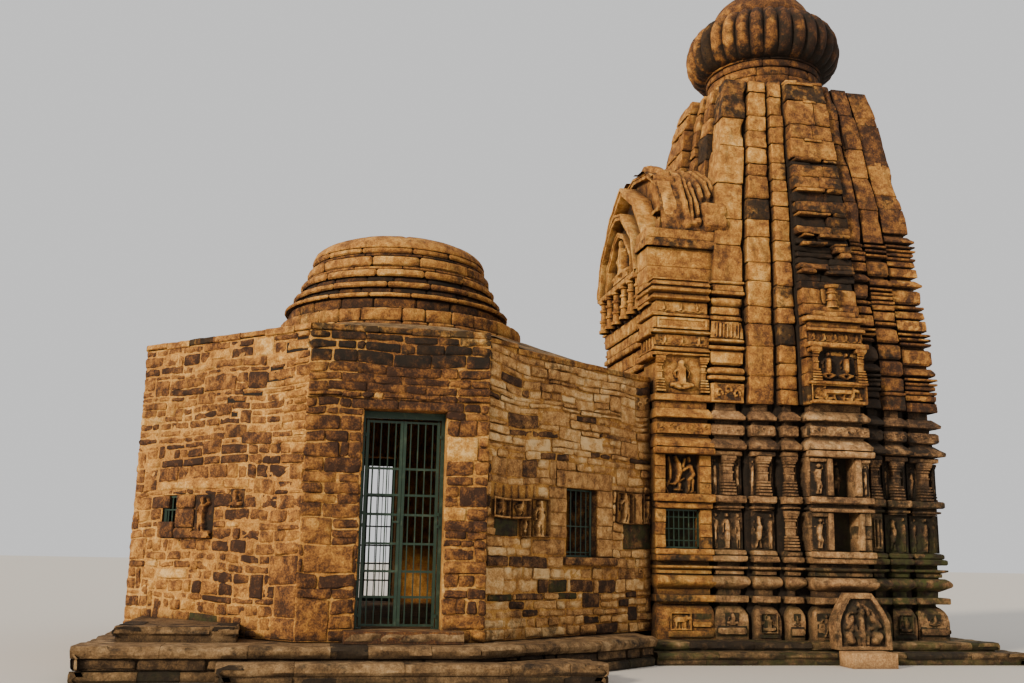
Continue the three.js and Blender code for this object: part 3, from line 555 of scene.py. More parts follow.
def masonry(heap, place, length, holes, rng, base=0.42, rises=(0.10, 0.21), mean_wide=0.30, top=WALL_TOP,
            low=WALL_BASE, ends=(0.0, 0.0), quoins=(False, False), dark=0.15, proud=0.006, gap=0.004,
            bend=0.02, pieces=(), cracks=(), spread=0.15, sag=None, uneven=(-0.004, 0.010), flat_from=None):
    """Unequal courses over a wall's plane, with long and short stones at its ends.

    Pieces are (u0, u1, v0, v1, kind): they take the courses nearest to their levels.
    From the level flat_from on, the courses are lower and their stones longer."""
    fixed = [v for hole in holes for v in hole[2:]]
    flat_level = flat_from or top
    levels = courses(low, flat_level, *rises, rng, fixed)
    if flat_from:
        levels += courses(flat_level, top, *FLAT_RISES, rng, fixed)[1:]
    bent = bedded(place, holes, length * 3.7, sag)
    taken = [list(hole) for hole in holes]
    for u0, u1, v0, v1, kind in pieces:
        first = min(range(len(levels) - 1), key=lambda k: abs(levels[k] - v0))
        last = max(first + 1, min(range(len(levels)), key=lambda k: abs(levels[k] - v1)))
        taken.append([u0, u1, levels[first], levels[last]])
        set_piece(heap, bent, u0, u1, levels[first], levels[last], kind, rng)
    for k, (v0, v1) in enumerate(runs(levels)):
        light = base + rng.uniform(-0.05, 0.05)
        for a, b in free_spans(v0, v1, length, taken):
            mean = FLAT_WIDE if v0 >= flat_level else mean_wide
            cuts = edges(a, b, mean * rng.uniform(0.7, 1.35), rng, 0.5, 0.35)
            if a == 0.0 and quoins[0] and b - a > 0.6:
                head = 0.44 if k % 2 else 0.25
                cuts = [a, a + head, *[c for c in cuts if c > a + head + 0.1]]
            if b == length and quoins[1] and b - a > 0.6:
                head = 0.25 if k % 2 else 0.44
                cuts = [*[c for c in cuts if c < b - head - 0.1], b - head, b]
            for u0, u1 in runs(cuts):
                at_end = (u0 == 0.0 and quoins[0]) or (u1 == length and quoins[1])
                rise = v1
                if k + 2 < len(levels) and not at_end and rng.random() < 0.09:
                    over = levels[k + 2]
                    clear = free_spans(v1, over, length, taken) and clear_over(taken, u0, u1, v1, over)
                    if u1 - u0 > 0.12 and clear:
                        rise = over
                        taken.append([u0, u1, v1, over])
                tint = wall_tint(rng, light + (0.10 if at_end else 0), 0.10 if at_end else spread,
                                 dark * (0.25 if at_end else 1))
                wide = gap * rng.uniform(0.6, 1.6)
                if crack_near(cracks, (u0 + u1) / 2, (v0 + rise) / 2):
                    wide += 0.004
                    dark_joint(heap, bent, u0 - 0.012, u1 - 0.05, v0 - 0.012, rise - 0.03)
                cells = (max(3, round((u1 - u0) / 0.06)), max(2, round((rise - v0) / 0.055)))
                stone(heap, bent, u0 - (ends[0] if u0 == 0.0 else 0), u1 + (ends[1] if u1 == length else 0),
                      v0, rise, rng, proud=proud + rng.uniform(*uneven), gap=wide,
                      bend=bend * rng.uniform(0.6, 1.4), wobble=0.010, cells=cells, tint=tint, skew=0.014,
                      pillow=rng.uniform(0.0, 0.014) + (0.012 if at_end else 0))


def clear_over(taken, u0, u1, low, high):
    """Whether nothing is taken yet over a stretch of the next course."""
    middle = (low + high) / 2
    return all(not (v0 < middle < v1) or b < u0 or a > u1 for a, b, v0, v1 in taken)


def wall_tint(rng, light, spread, dark):
    """A wall stone's tint: mostly ochre, some pale, some purple-brown and a few sooty ones."""
    draw = rng.random()
    if draw < dark:
        return rng.uniform(0.02, 0.17), rng.uniform(0.0, 0.30), 0.0
    if draw < dark + 0.05:
        return rng.uniform(0.66, 0.78), 0.0, 0.0
    return min(1, max(0, light + rng.uniform(-spread, spread))), rng.uniform(0, 0.10), 0.0


def crack_near(cracks, u, v):
    """Whether a place lies by a crack, given as a run of points on the wall."""
    for (au, av), (bu, bv) in runs(cracks):
        long = (bu - au) ** 2 + (bv - av) ** 2
        k = min(1, max(0, ((u - au) * (bu - au) + (v - av) * (bv - av)) / long))
        if math.hypot(u - au - k * (bu - au), v - av - k * (bv - av)) < 0.09:
            return True
    return False


def dark_joint(heap, place, u0, u1, v0, v1):
    """A dark ground just over the mortar, which shows round a stone as an open joint."""
    sheet = np.array([[place(u, v, 0.0012) for u in (u0, (u0 + u1) / 2, u1)] for v in (v0, v1)])
    heap.grid(sheet, (0.0, 1.0, 0.0))


# Tints of the stones that stand out among the others
PIECE_TINTS = {"dark": (0.06, 0.16, 0.0), "green": (0.05, 0.45, 0.55), "pale": (0.72, 0.0, 0.0),
               "lens": (0.50, 0.10, 0.0), "block": (0.52, 0.05, 0.0), "warm": (0.36, 0.12, 0.0),
               "brown": (0.20, 0.25, 0.0)}


# Carved ones: their rims across and up, front, back, least and most lightness, stain, relief, ground (how
# much painted shade darkens the panel's ground), frame
PIECE_CARVING = {"carved": (0.008, 0.008, 0.080, -0.006, (0.52, 0.64), 0.04, 1.9, 0.80, 0.018),
                 "row": (0.008, 0.006, 0.055, -0.005, (0.50, 0.50), 0.08, 2.0, 0.80, 0.0),
                 "pillar": (0.010, 0.008, 0.075, 0.006, (0.48, 0.60), 0.05, 1.3, 0.35, 0.0),
                 "frieze": (0.008, 0.006, 0.045, 0.005, (0.44, 0.44), 0.10, 1.2, 0.40, 0.0)}


# Bands and a shaft of a broken pilaster, as strokes
PILASTER = ((0.5, 0.04, 0.5, 0.96, 0.60), (0.14, 0.09, 0.86, 0.09, 0.22), (0.16, 0.91, 0.84, 0.91, 0.22))


def piece_strokes(kind, wide, high, rng):
    """The carving of a stone that stands out."""
    if kind == "carved":
        return rng.choice((figure(rng, 1, wide=0.19), figure(rng, 0, wide=0.20),
                           figure(rng, 0, True, wide=0.18)))
    if kind == "row":
        return pillarettes(max(2, round(wide / 0.16)))
    return PILASTER if kind == "pillar" else scroll(max(2, round(wide / high)))


def set_piece(heap, place, u0, u1, v0, v1, kind, rng):
    """A stone that stands out among the others: carved, dark, pale, mossy or a flat lens."""
    if kind in PIECE_CARVING:
        rim_u, rim_v, front, back, (least, most), stain, relief, ground, frame_wide = PIECE_CARVING[kind]
        strokes = piece_strokes(kind, u1 - u0, v1 - v0, rng)
        light = rng.uniform(least, most) if least < most else least
        panel(heap, place, u0 + rim_u, u1 - rim_u, v0 + rim_v, v1 - rim_v, strokes, front, back,
              (light, stain, 0.0), relief=relief, ground=ground, frame_wide=frame_wide)
        return
    light, stain, green = PIECE_TINTS[kind]
    stone(heap, place, u0, u1, v0, v1, rng, tint=(min(1, light + rng.uniform(0, 0.06)), stain, green),
          proud=0.014, gap=0.006, bend=0.05 if kind == "lens" else 0.018, wobble=0.006,
          cells=(max(3, round((u1 - u0) / 0.08)), max(2, round((v1 - v0) / 0.06))), skew=0.006, pillow=0.012)


FRONT_FROM, FRONT_TO = (-FRONT_HALF, -HALL_FRONT), (FRONT_HALF, -HALL_FRONT)
ANTE_FROM, ANTE_TO = (ANTE_X, -ANTE_HALF), (5.235, -ANTE_HALF)
LEFT_FROM, LEFT_TO = (WEST_X, -WEST_HALF), (-FRONT_HALF, -HALL_FRONT)
RIGHT_FROM, RIGHT_TO = (FRONT_HALF, -(HALL_FRONT - PIER_STEP)), (ANTE_X, -RIGHT_WALL_END)


def flipped(shapes, length):
    """Shapes (from, to, ...) along a wall as they lie on its mirror image."""
    return [(length - u1, length - u0, *rest) for u0, u1, *rest in shapes]


def hall_place(start, end, back):
    """A place on a front wall of the hall, or on its mirror image at the back, with its length."""
    if not back:
        return wall_place(start, end)
    return wall_place((end[0], -end[1]), (start[0], -start[1]))


LEFT_PIECES = (
    (0.55, 1.02, 2.60, 2.80, "dark"), (1.02, 1.46, 2.60, 2.80, "dark"), (1.46, 1.80, 2.60, 2.80, "brown"),
    (1.80, 2.36, 2.60, 2.80, "dark"), (0.50, 1.08, 2.36, 2.58, "pale"), (1.08, 1.90, 2.36, 2.58, "pale"),
    (1.90, 2.42, 2.36, 2.58, "block"), (0.86, 1.22, 4.14, 4.32, "dark"), (2.26, 2.64, 3.76, 3.98, "dark"),
    (1.80, 2.34, 2.80, 2.94, "dark"), (0.40, 0.80, 2.05, 2.24, "dark"), (0.56, 0.92, 1.70, 1.90, "brown"),
    (1.62, 2.22, 0.80, 0.97, "dark"), (1.40, 1.98, 0.60, 0.76, "green"), (2.98, 3.42, 0.42, 0.78, "warm"),
    (3.02, 3.42, 0.78, 1.15, "warm"), (2.90, 3.42, 1.15, 1.46, "warm"), (1.86, 2.30, 3.04, 3.20, "brown"),
    (0.60, 1.30, 1.10, 1.30, "pale"), (2.20, 2.80, 2.95, 3.10, "dark"))
FRONT_PIECES = (
    (0.0, 0.30, 3.95, 4.16, "brown"), (0.30, 0.62, 3.95, 4.16, "dark"), (0.62, 1.10, 3.95, 4.16, "brown"),
    (1.10, 1.62, 3.95, 4.16, "dark"), (1.62, 2.10, 3.95, 4.16, "brown"), (2.10, 2.43, 3.95, 4.16, "dark"),
    (0.35, 0.60, 4.16, 4.30, "dark"), (0.72, 1.20, 4.16, 4.30, "dark"), (1.40, 1.80, 4.16, 4.30, "brown"),
    (1.86, 2.30, 2.84, 3.04, "pale"), (2.05, 2.43, 2.20, 2.38, "dark"), (0.0, 0.42, 0.42, 0.92, "warm"),
    (0.05, 0.70, 1.35, 1.60, "warm"), (0.0, 0.40, 1.60, 1.94, "warm"))
RIGHT_PIECES = (
    (0.10, 0.40, 2.64, 2.86, "block"), (0.40, 0.72, 2.64, 2.88, "block"), (0.72, 1.04, 2.64, 2.88, "brown"),
    (0.10, 0.42, 2.44, 2.64, "block"), (0.42, 0.74, 2.44, 2.64, "pale"), (0.74, 1.08, 2.44, 2.64, "block"),
    (0.10, 1.06, 2.30, 2.44, "row"), (0.10, 0.44, 2.00, 2.30, "carved"), (0.46, 0.86, 2.00, 2.30, "carved"),
    (0.88, 1.28, 1.86, 2.30, "carved"), (0.17, 0.66, 1.74, 2.00, "green"), (0.66, 0.86, 1.74, 2.00, "carved"),
    (0.92, 1.70, 1.56, 1.80, "lens"), (2.86, 3.28, 2.06, 2.48, "carved"), (3.28, 3.52, 2.06, 2.48, "pillar"),
    (3.52, 3.80, 2.06, 2.48, "carved"), (3.06, 3.80, 1.72, 2.04, "green"), (1.31, 1.73, 1.12, 1.28, "green"),
    (1.80, 2.33, 1.12, 1.28, "dark"), (2.45, 2.87, 1.10, 1.26, "dark"), (0.07, 0.56, 0.90, 1.06, "green"),
    (0.62, 1.21, 0.88, 1.03, "dark"), (1.51, 1.96, 0.88, 1.03, "green"), (2.08, 2.50, 0.85, 1.00, "dark"),
    (0.77, 1.12, 0.64, 0.85, "brown"), (1.38, 2.01, 3.06, 3.22, "pale"), (1.52, 1.92, 4.06, 4.20, "lens"),
    (2.90, 3.20, 2.60, 2.90, "pale"), (3.00, 3.40, 3.70, 3.95, "pale"), (3.40, 3.80, 3.95, 4.20, "frieze"),
    (2.60, 3.30, 3.30, 3.45, "frieze"), (0.40, 1.05, 3.35, 3.50, "brown"), (1.90, 2.40, 3.55, 3.70, "dark"),
    (0.25, 0.70, 3.95, 4.10, "dark"), (1.10, 1.45, 2.90, 3.04, "dark"), (2.95, 3.60, 1.15, 1.32, "frieze"))
LEFT_CRACK = ((3.36, 4.42), (3.10, 4.10), (2.78, 3.92), (2.50, 3.70), (2.10, 3.62), (1.96, 3.40))


# The doorway and the lintel over it, from the left end of the front wall
FRONT_HOLES = ((DOOR_LEFT + FRONT_HALF, DOOR_RIGHT + FRONT_HALF, WALL_BASE - 0.1, DOOR_TOP),
               (DOOR_LEFT + FRONT_HALF - 0.16, DOOR_RIGHT + FRONT_HALF + 0.22, DOOR_TOP, DOOR_TOP + 0.13))


# The small window, the niche beside it and the little high niche, from the right end of the left wall
LEFT_HOLES = ((2.45, 2.77, 1.68, 2.29), (1.67, 2.45, 1.68, 2.29), (1.08, 1.36, 2.10, 2.355))


# The large window, its jambs, its lintel and its sill, from the left end of the right wall
RIGHT_HOLES = ((1.70, 2.42, 1.53, 2.53), (1.30, 1.70, 1.80, 2.53), (2.42, 2.79, 1.53, 2.53),
               (1.45, 2.77, 2.53, 2.78), (1.62, 2.86, 1.38, 1.53))


def front_wall(heap, back, rng):
    """The wall with the gate, and the long dark lintel of two stones over it."""
    place, length = hall_place(FRONT_FROM, FRONT_TO, back)
    holes, pieces = FRONT_HOLES, FRONT_PIECES
    if back:
        holes, pieces = flipped(holes, length), flipped(pieces, length)
    masonry(heap, place, length, holes, rng, base=0.21, rises=(0.10, 0.22), quoins=(True, True),
            ends=(0.014, 0.014), dark=0.16, proud=0.014, pieces=pieces, spread=0.16, flat_from=3.56)
    u0, u1, v0, v1 = holes[1]
    for a, b in runs((u0, u0 + 0.62, u1)):
        stone(heap, place, a, b, v0, v1, rng, proud=0.022, cells=(8, 2), tint=(0.16, 0.30, 0), bend=0.015)
    reveals(heap, holes[0], place, rng)


def left_wall(heap, back, rng):
    """The slanted wall on the left with its small window. Only the front one has the crack."""
    place, length = hall_place(LEFT_FROM, LEFT_TO, back)
    holes = LEFT_HOLES if back else flipped(LEFT_HOLES, length)
    masonry(heap, place, length, holes, rng, base=0.36, rises=(0.09, 0.20), mean_wide=0.27, ends=(0.014, 0.0),
            quoins=(back, not back), dark=0.17, proud=0.005, gap=0.005, spread=0.13, flat_from=2.95,
            pieces=flipped(LEFT_PIECES, length) if back else LEFT_PIECES, cracks=() if back else LEFT_CRACK)
    small_window(heap, place, holes, rng, back)


def right_wall(heap, back, rng):
    """The slanted wall on the right with its large window, under a head that sags."""
    place, length = hall_place(RIGHT_FROM, RIGHT_TO, back)
    holes, pieces = RIGHT_HOLES, RIGHT_PIECES
    if back:
        holes, pieces = flipped(holes, length), flipped(pieces, length)

    def sag(u):
        return roof_sag((length - u if back else u) / length)

    # painted light: base 0.70 makes these stones far lighter than the left walls', to lift walls the key
    # light misses
    masonry(heap, place, length, holes, rng, base=0.70, rises=(0.08, 0.20), mean_wide=0.36, dark=0.12,
            proud=0.016, gap=0.007, bend=0.018, pieces=pieces, spread=0.19, sag=sag, uneven=(-0.014, 0.024),
            flat_from=2.90)
    large_window(heap, place, holes, rng)


def west_wall():
    """The wall opposite the tower, with its doorway."""
    heap = Heap()
    rng = random.Random(77)
    place, length = wall_place((WEST_X, WEST_HALF), (WEST_X, -WEST_HALF))
    door = (WEST_HALF - WEST_DOOR_HALF, WEST_HALF + WEST_DOOR_HALF, WALL_BASE - 0.1, DOOR_TOP)
    masonry(heap, place, length, [door], rng, base=0.38, quoins=(True, True), proud=-0.001)
    reveals(heap, door, place, rng)
    heap.build("west_wall_stones", walling, "wall_stone")


def hall_walls():
    """The front and back walls with the slanted walls beside them, and the west wall."""
    for back, side, seed in ((False, "front", 17), (True, "back", 41)):
        rng = random.Random(seed)
        heap = Heap()
        front_wall(heap, back, rng)
        left_wall(heap, back, rng)
        heap.build(f"{side}_wall_stones", walling, "wall_stone")
        heap = Heap()
        right_wall(heap, back, rng)
        heap.build(f"{side}_right_wall_stones", painted_light_walling, "wall_stone")
    west_wall()


def roof_sag(share):
    """How far the head of a right slanted wall sags, at a share of its length."""
    return 0.095 * smooth_step(share / 0.22) * smooth_step((1.0 - share) / 0.12 + 0.3)


def reveals(heap, door, place, rng):
    """The stones at the sides of a doorway's opening, seen edge on."""
    left, right, _, top = door
    for low, high in runs(levels_with(FLOOR_TOP, top, 0.2, rng)):
        for edge, turn in ((left, 1), (right, -1)):
            def inward(u, v, n, edge=edge, turn=turn):
                return place(edge + turn * n, v, -u if turn > 0 else u - 0.74)
            stone(heap, inward, -0.012, 0.36, low, high, rng, proud=0.010, cells=(3, 2), wobble=0.003,
                  tint=stone_tint(rng, 0.42, 0.15, 0.05), back=-0.02)


def small_window(heap, place, holes, rng, back):
    """The little barred window, the block beside it, the niche with a worn figure and the high niche."""
    window, niche, high_niche = holes
    opening_sides(heap, place, window, (0.16, 0.55, 0.0))
    a, b, foot, top = niche
    middle = a + 0.39
    block, recess = ((middle, b), (a, middle)) if back else ((a, middle), (middle, b))
    for low, high in runs((foot, foot + 0.15, foot + 0.42, top)):
        stone(heap, place, *block, low, high, rng, proud=rng.uniform(0.035, 0.055), cells=(5, 3), bend=0.018,
              tint=(rng.uniform(0.24, 0.36), 0.1, 0), pillow=0.01)
    # the ground value is painted shade on the panels' bare ground
    worn = {"tint": (0.30, 0.25, 0), "relief": 1.4, "ground": 0.7}
    panel(heap, place, *recess, foot, top, [*figure(rng, arms=1, wide=0.22), (0.1, 0.1, 0.9, 0.1, 0.2)],
          0.075, 0.003, **worn)
    panel(heap, place, *high_niche, figure(rng, seated=True, wide=0.22), 0.055, 0.003, **worn)


def opening_sides(heap, place, hole, tint):
    """The worn sides of a window's opening, seen from inside it, in the dark tint given as painted shade."""
    u0, u1, v0, v1 = hole
    thin, deep = 0.003, 0.55
    ring = [(u0 + thin, v0 + thin), (u1 - thin, v0 + thin), (u1 - thin, v1 - thin), (u0 + thin, v1 - thin)]
    sheet = np.array([[place(u, v, n) for u, v in ring] for n in (-0.005, -deep)])
    heap.grid(sheet, tint, wrap=True)


def large_window(heap, place, holes, rng):
    """The barred window's jambs, lintel and sill."""
    window, left, right, lintel, sill = holes
    opening_sides(heap, place, window, (0.30, 0.35, 0.0))
    for (u0, u1, v0, v1), stand in ((left, 0.012), (right, 0.018)):
        for low, high in runs(levels_with(v0, v1, (v1 - v0) / 4, rng)):
            stone(heap, place, u0, u1, low, high, rng, proud=stand + rng.uniform(0, 0.008), cells=(5, 3),
                  tint=stone_tint(rng, 0.55, 0.1, 0), bend=0.014)
    stone(heap, place, *lintel, rng, proud=0.035, cells=(11, 3), tint=(0.52, 0.05, 0), bend=0.016)
    u0, u1, v0, v1 = sill
    stone(heap, place, u0, u1, v0 + 0.03, v1, rng, proud=0.085, cells=(11, 2), tint=(0.30, 0.30, 0),
          bend=0.02)


# Carving: shapes drawn with thick strokes on a unit panel, u and v from 0 to 1


def figure(rng, arms=0, seated=False, wide=0.16):
    """Strokes of a plain standing or seated figure with no face: (u0, v0, u1, v1, thickness)."""
    sway = rng.uniform(-0.06, 0.06)
    if seated:
        body = [(0.5, 0.34, 0.5 + sway, 0.66, wide * 1.15), (0.5 + sway, 0.82, 0.5 + sway, 0.84, wide * 0.85),
                (0.5, 0.25, 0.16, 0.20, wide * 0.7), (0.5, 0.25, 0.84, 0.20, wide * 0.7),
                (0.16, 0.20, 0.44, 0.12, wide * 0.6), (0.84, 0.20, 0.56, 0.12, wide * 0.6)]
        shoulder, hand = 0.68, 0.42
    else:
        knee = rng.uniform(-0.1, 0.1)
        body = [(0.5 + sway, 0.50, 0.5 - sway, 0.72, wide), (0.5 - sway, 0.87, 0.5 - sway, 0.89, wide * 0.8),
                (0.46 + sway, 0.48, 0.42 + knee, 0.26, wide * 0.66),
                (0.42 + knee, 0.26, 0.40, 0.05, wide * 0.5),
                (0.54 + sway, 0.48, 0.60 + knee, 0.26, wide * 0.66),
                (0.60 + knee, 0.26, 0.58, 0.05, wide * 0.5), (0.36, 0.03, 0.64, 0.03, wide * 0.4)]
        shoulder, hand = 0.75, 0.45
    centre = 0.5 - sway
    for turn in (-1, 1):
        elbow = (centre + turn * 0.26, shoulder - (0.12 if arms != turn else -0.05))
        tip = (centre + turn * 0.20, hand if arms != turn else 0.93)
        body.append((centre + turn * 0.12, shoulder, *elbow, wide * 0.42))
        body.append((*elbow, *tip, wide * 0.36))
    return body


def pair(rng):
    """Two figures side by side."""
    left = [(u0 * 0.52, v0, u1 * 0.52, v1, w * 0.7) for u0, v0, u1, v1, w in figure(rng, 0, True)]
    right = [(0.48 + u0 * 0.52, v0, 0.48 + u1 * 0.52, v1, w * 0.7)
             for u0, v0, u1, v1, w in figure(rng, 1, True)]
    return left + right


def beast(turn=1):
    """Strokes of a walking animal."""
    strokes = [(0.28, 0.58, 0.70, 0.60, 0.25), (0.78, 0.72, 0.84, 0.66, 0.19), (0.88, 0.60, 0.90, 0.28, 0.08),
               (0.30, 0.45, 0.26, 0.06, 0.12), (0.42, 0.42, 0.44, 0.06, 0.11), (0.60, 0.44, 0.58, 0.06, 0.11),
               (0.72, 0.46, 0.74, 0.06, 0.12), (0.16, 0.60, 0.10, 0.30, 0.05)]
    return strokes if turn > 0 else [(1 - u0, v0, 1 - u1, v1, w) for u0, v0, u1, v1, w in strokes]


def scroll(turns=3):
    """Strokes of a leafy scroll."""
    strokes = []
    for k in range(turns):
        centre = (k + 0.5) / turns
        level = 0.62 if k % 2 else 0.38
        for i in range(7):
            ends = []
            for angle, radius in ((i * 0.75, 0.34 - 0.04 * i), ((i + 1) * 0.75, 0.30 - 0.04 * i)):
                ends += [centre + radius * math.cos(angle) / turns * 1.3, level + radius * math.sin(angle)]
            strokes.append((*ends, 0.10))
    return strokes


def pillarettes(count):
    """Upright ribs in a row."""
    return [((k + 0.5) / count, 0.08, (k + 0.5) / count, 0.92, 0.55 / count) for k in range(count)]


def on_circle(radius, angle):
    """A point of a unit panel, by its distance and direction from the middle."""
    return 0.5 + radius * math.cos(angle), 0.5 + radius * math.sin(angle)


def wheel(spokes=12, radius=0.44):
    """A ring with curling rays."""
    strokes = []
    for k in range(spokes):
        angle, after = k * math.tau / spokes, (k + 1) * math.tau / spokes
        strokes.append((*on_circle(0.2, angle), *on_circle(radius * 0.86, angle + 0.35), 0.075))
        strokes.append((*on_circle(radius, angle), *on_circle(radius, after), 0.06))
    return strokes


def stroke_heights(x, y, wide, high, strokes, reach, power):
    """How high the strokes stand at each place of a panel, rounded off by the power."""
    heights = np.zeros_like(x)
    for a0, b0, a1, b1, thick in strokes:
        ax, ay, bx, by = a0 * wide, b0 * high, a1 * wide, b1 * high
        length = max(1e-6, (bx - ax) ** 2 + (by - ay) ** 2)
        k = np.clip(((x - ax) * (bx - ax) + (y - ay) * (by - ay)) / length, 0, 1)
        away = np.hypot(x - ax - k * (bx - ax), y - ay - k * (by - ay))
        half = thick * reach
        heights = np.maximum(heights, half * np.clip(1 - (away / half) ** 2, 0, 1) ** power)
    return heights


def panel(heap, place, u0, u1, v0, v1, strokes, front, back, tint=(0.5, 0.1, 0), cell=0.018, relief=1.0,
          frame_wide=0.0, ground=1.0):
    """A carved panel: strokes stand up from its ground, which is darkened as painted shade, inside a raised
    frame if it has one.
    """
    wide, high, deep = u1 - u0, v1 - v0, front - back
    columns, rows = max(6, round(wide / cell)), max(6, round(high / cell))
    x, y = np.meshgrid(np.linspace(0, 1, columns + 1) * wide, np.linspace(0, 1, rows + 1) * high)
    heights = stroke_heights(x, y, wide, high, strokes, min(wide, high) * 0.62, 0.38)
    rise = np.minimum(heights * 2.1 * relief, deep)
    share = np.clip(rise / max(0.55 * rise.max(), 0.012), 0, 1)
    if frame_wide:
        framed = np.minimum(np.minimum(x, wide - x), np.minimum(y, high - y)) < frame_wide
        rise = np.maximum(rise, deep * 0.9 * framed)
        share = np.maximum(share, framed)
    points = np.empty((rows + 1, columns + 1, 3))
    for j, i in np.ndindex(rows + 1, columns + 1):
        spot = (u0 + x[j, i], v0 + y[j, i], back + rise[j, i])
        points[j, i] = place(*spot[:2], spot[2] + 0.004 * rough(place(*spot), 19))
    # painted shade: the bare ground between the strokes is darker and more stained, the strokes lighter
    bare = ground * (1 - share)
    tints = np.stack([tint[0] + 0.10 - 0.34 * bare, tint[1] + 0.55 * bare, np.full_like(share, tint[2])],
                     axis=-1)
    heap.grid(points, np.clip(tints, 0, 1))


# Roof and dome


def roof_drop(x, y):
    """How far the roof's edge sags over the right slanted walls."""
    share = (x - FRONT_HALF) / (ANTE_X - FRONT_HALF)
    return roof_sag(share) * smooth_step((abs(y) - 1.2) / 0.6)


def coping():
    """Thin edge slabs round the walls' heads."""
    heap = Heap()
    rng = random.Random(5)
    for back in (False, True):
        for start, end in ((LEFT_FROM, LEFT_TO), (FRONT_FROM, FRONT_TO), (RIGHT_FROM, RIGHT_TO)):
            place, length = hall_place(start, end, back)
            for u0, u1 in runs(edges(0, length, COPING_WIDE, rng, 0.4)):
                middle = place((u0 + u1) / 2, 0, 0)
                drop = roof_drop(middle.x, middle.y)
                high = COPING_TOP - drop - rng.uniform(0, 0.012)
                low = WALL_TOP - drop + rng.uniform(-0.01, 0.015)
                slab_stone(heap, place, u0, u1, low, high, 0.028 + rng.uniform(-0.008, 0.0), COPING_BACK, rng,
                           stone_tint(rng, 0.55, 0.12, 0.08))
    place, length = wall_place((WEST_X, WEST_HALF), (WEST_X, -WEST_HALF))
    for u0, u1 in runs(edges(0, length, COPING_WIDE, rng, 0.4)):
        slab_stone(heap, place, u0, u1, WALL_TOP, COPING_TOP - rng.uniform(0, 0.012), 0.025, COPING_BACK, rng,
                   stone_tint(rng, 0.55, 0.12, 0.08))
    heap.build("coping_slabs", walling, "wall_stone", instead_of=("hall_coping",))


def slab_stone(heap, place, u0, u1, v0, v1, front, back, rng, tint, bend=0.014, under=-0.05, broken=0.0,
               limit=None):
    """A slab with a rough front edge and a top that runs back over the wall.

    Under is how far in its underside goes, broken how much its nose is knocked off, and nothing of it
    passes the limit."""
    wide = u1 - u0 - 0.006
    columns = max(2, round(wide / 0.10))
    bend = min(bend, (v1 - v0) * 0.4)
    profile = [(under, v0 + 0.002), (front - bend, v0 + 0.002), (front, v0 + bend), (front, v1 - bend),
               (front - bend, v1), (front - 0.12, v1 + 0.002), ((front + back) / 2, v1), (back, v1 - 0.002)]
    points = np.empty((len(profile), columns + 3, 3))
    offsets = [0, 0, *(wide * i / columns for i in range(1, columns)), wide, wide]
    seed = rng.uniform(0, 40)
    for j, (n, v) in enumerate(profile):
        for i, du in enumerate(offsets):
            u = u0 + 0.003 + du
            if i in (0, len(offsets) - 1):
                points[j, i] = place(u, v - 0.05 if j > 2 else v, n - 0.03)
                continue
            here = place(u, v, n)
            lift = 0.006 * rough(here, 9) + 0.004 * rough(here, 25)
            out = n + (1.3 * lift if j < 6 else 0)
            if 0 < j < 5:
                knock = max(0.0, rough((u0 + du, seed, j * 0.15), 4.0) + 0.15)
                corner = 1.3 if i in (1, len(offsets) - 2) else 1.0
                out -= broken * knock * corner * (1.0 if j > 1 else 0.3)
                lift -= broken * knock * (0.35 if j > 2 else 0)
            if limit is not None:
                out = min(out, limit)
            points[j, i] = place(u, max(0.0, v + lift), out)
    heap.grid(points, tint)


def roof():
    """The low roof between the coping and the drum: old slabs under a thin skin of lime."""
    heap = Heap()
    rim = [(WEST_X, -WEST_HALF), (-FRONT_HALF, -HALL_FRONT), (FRONT_HALF, -HALL_FRONT),
           (ANTE_X, -RIGHT_WALL_END)]
    rim = [*rim, *[(x, -y) for x, y in reversed(rim)]]
    columns, rows = 144, 16
    points = np.empty((rows + 1, columns, 3))
    tints = np.empty((rows + 1, columns, 3))
    heights = ((0.0, COPING_TOP - 0.012), (0.42, 4.70), (0.72, 4.93), (1.0, 5.0))
    for i in range(columns):
        turn = math.tau * i / columns
        way = Vector((math.cos(turn), math.sin(turn)))
        far = ray_to(rim, DOME_X, way) * 0.985
        for j in range(rows + 1):
            t = j / rows
            r = far + (2.0 - far) * t
            x, y = DOME_X + way.x * r, way.y * r
            z = along_table(heights, t) - roof_drop(x, y) * (1 - smooth_step(t / 0.5))
            here = Vector((x, y, z))
            points[j, i] = (x, y, z + 0.012 * rough(here, 2.2) + 0.006 * rough(here, 9))
            step = math.floor(t * 6 + 0.4 * rough(here, 1.5))
            tints[j, i] = (0.50 + 0.16 * rough(Vector((step, i // 4, 0)), 1.7),
                           0.22 + 0.25 * rough(here, 1.1), 0.15)
    heap.grid(points, tints, wrap=True)
    lining(heap)
    heap.build("roof_skin", paving, "wall_stone", instead_of=("roof_slope",))


def ray_to(outline, x, way):
    """How far it is from (x, 0) along a direction to a plan outline."""
    best = 0.0
    rx, ry = way
    for (ax, ay), (bx, by) in zip(outline, [*outline[1:], outline[0]]):
        sx, sy = bx - ax, by - ay
        cross = rx * sy - ry * sx
        if abs(cross) < 1e-9:
            continue
        t = ((ax - x) * sy - ay * sx) / cross
        u = ((ax - x) * ry - ay * rx) / cross
        if t > 0 and -1e-9 <= u <= 1 + 1e-9:
            best = max(best, t)
    return best


def lining(heap):
    """The roof's underside, seen from inside the hall, in a darker tint as painted shade."""
    rows = [(3.0 + (1.32 - 3.0) * j / 5, 4.44 + 0.5 * (j / 5)) for j in range(6)]
    round_shell(heap, DOME_X, rows, 48, (0.35, 0.2, 0.0), way=-1)
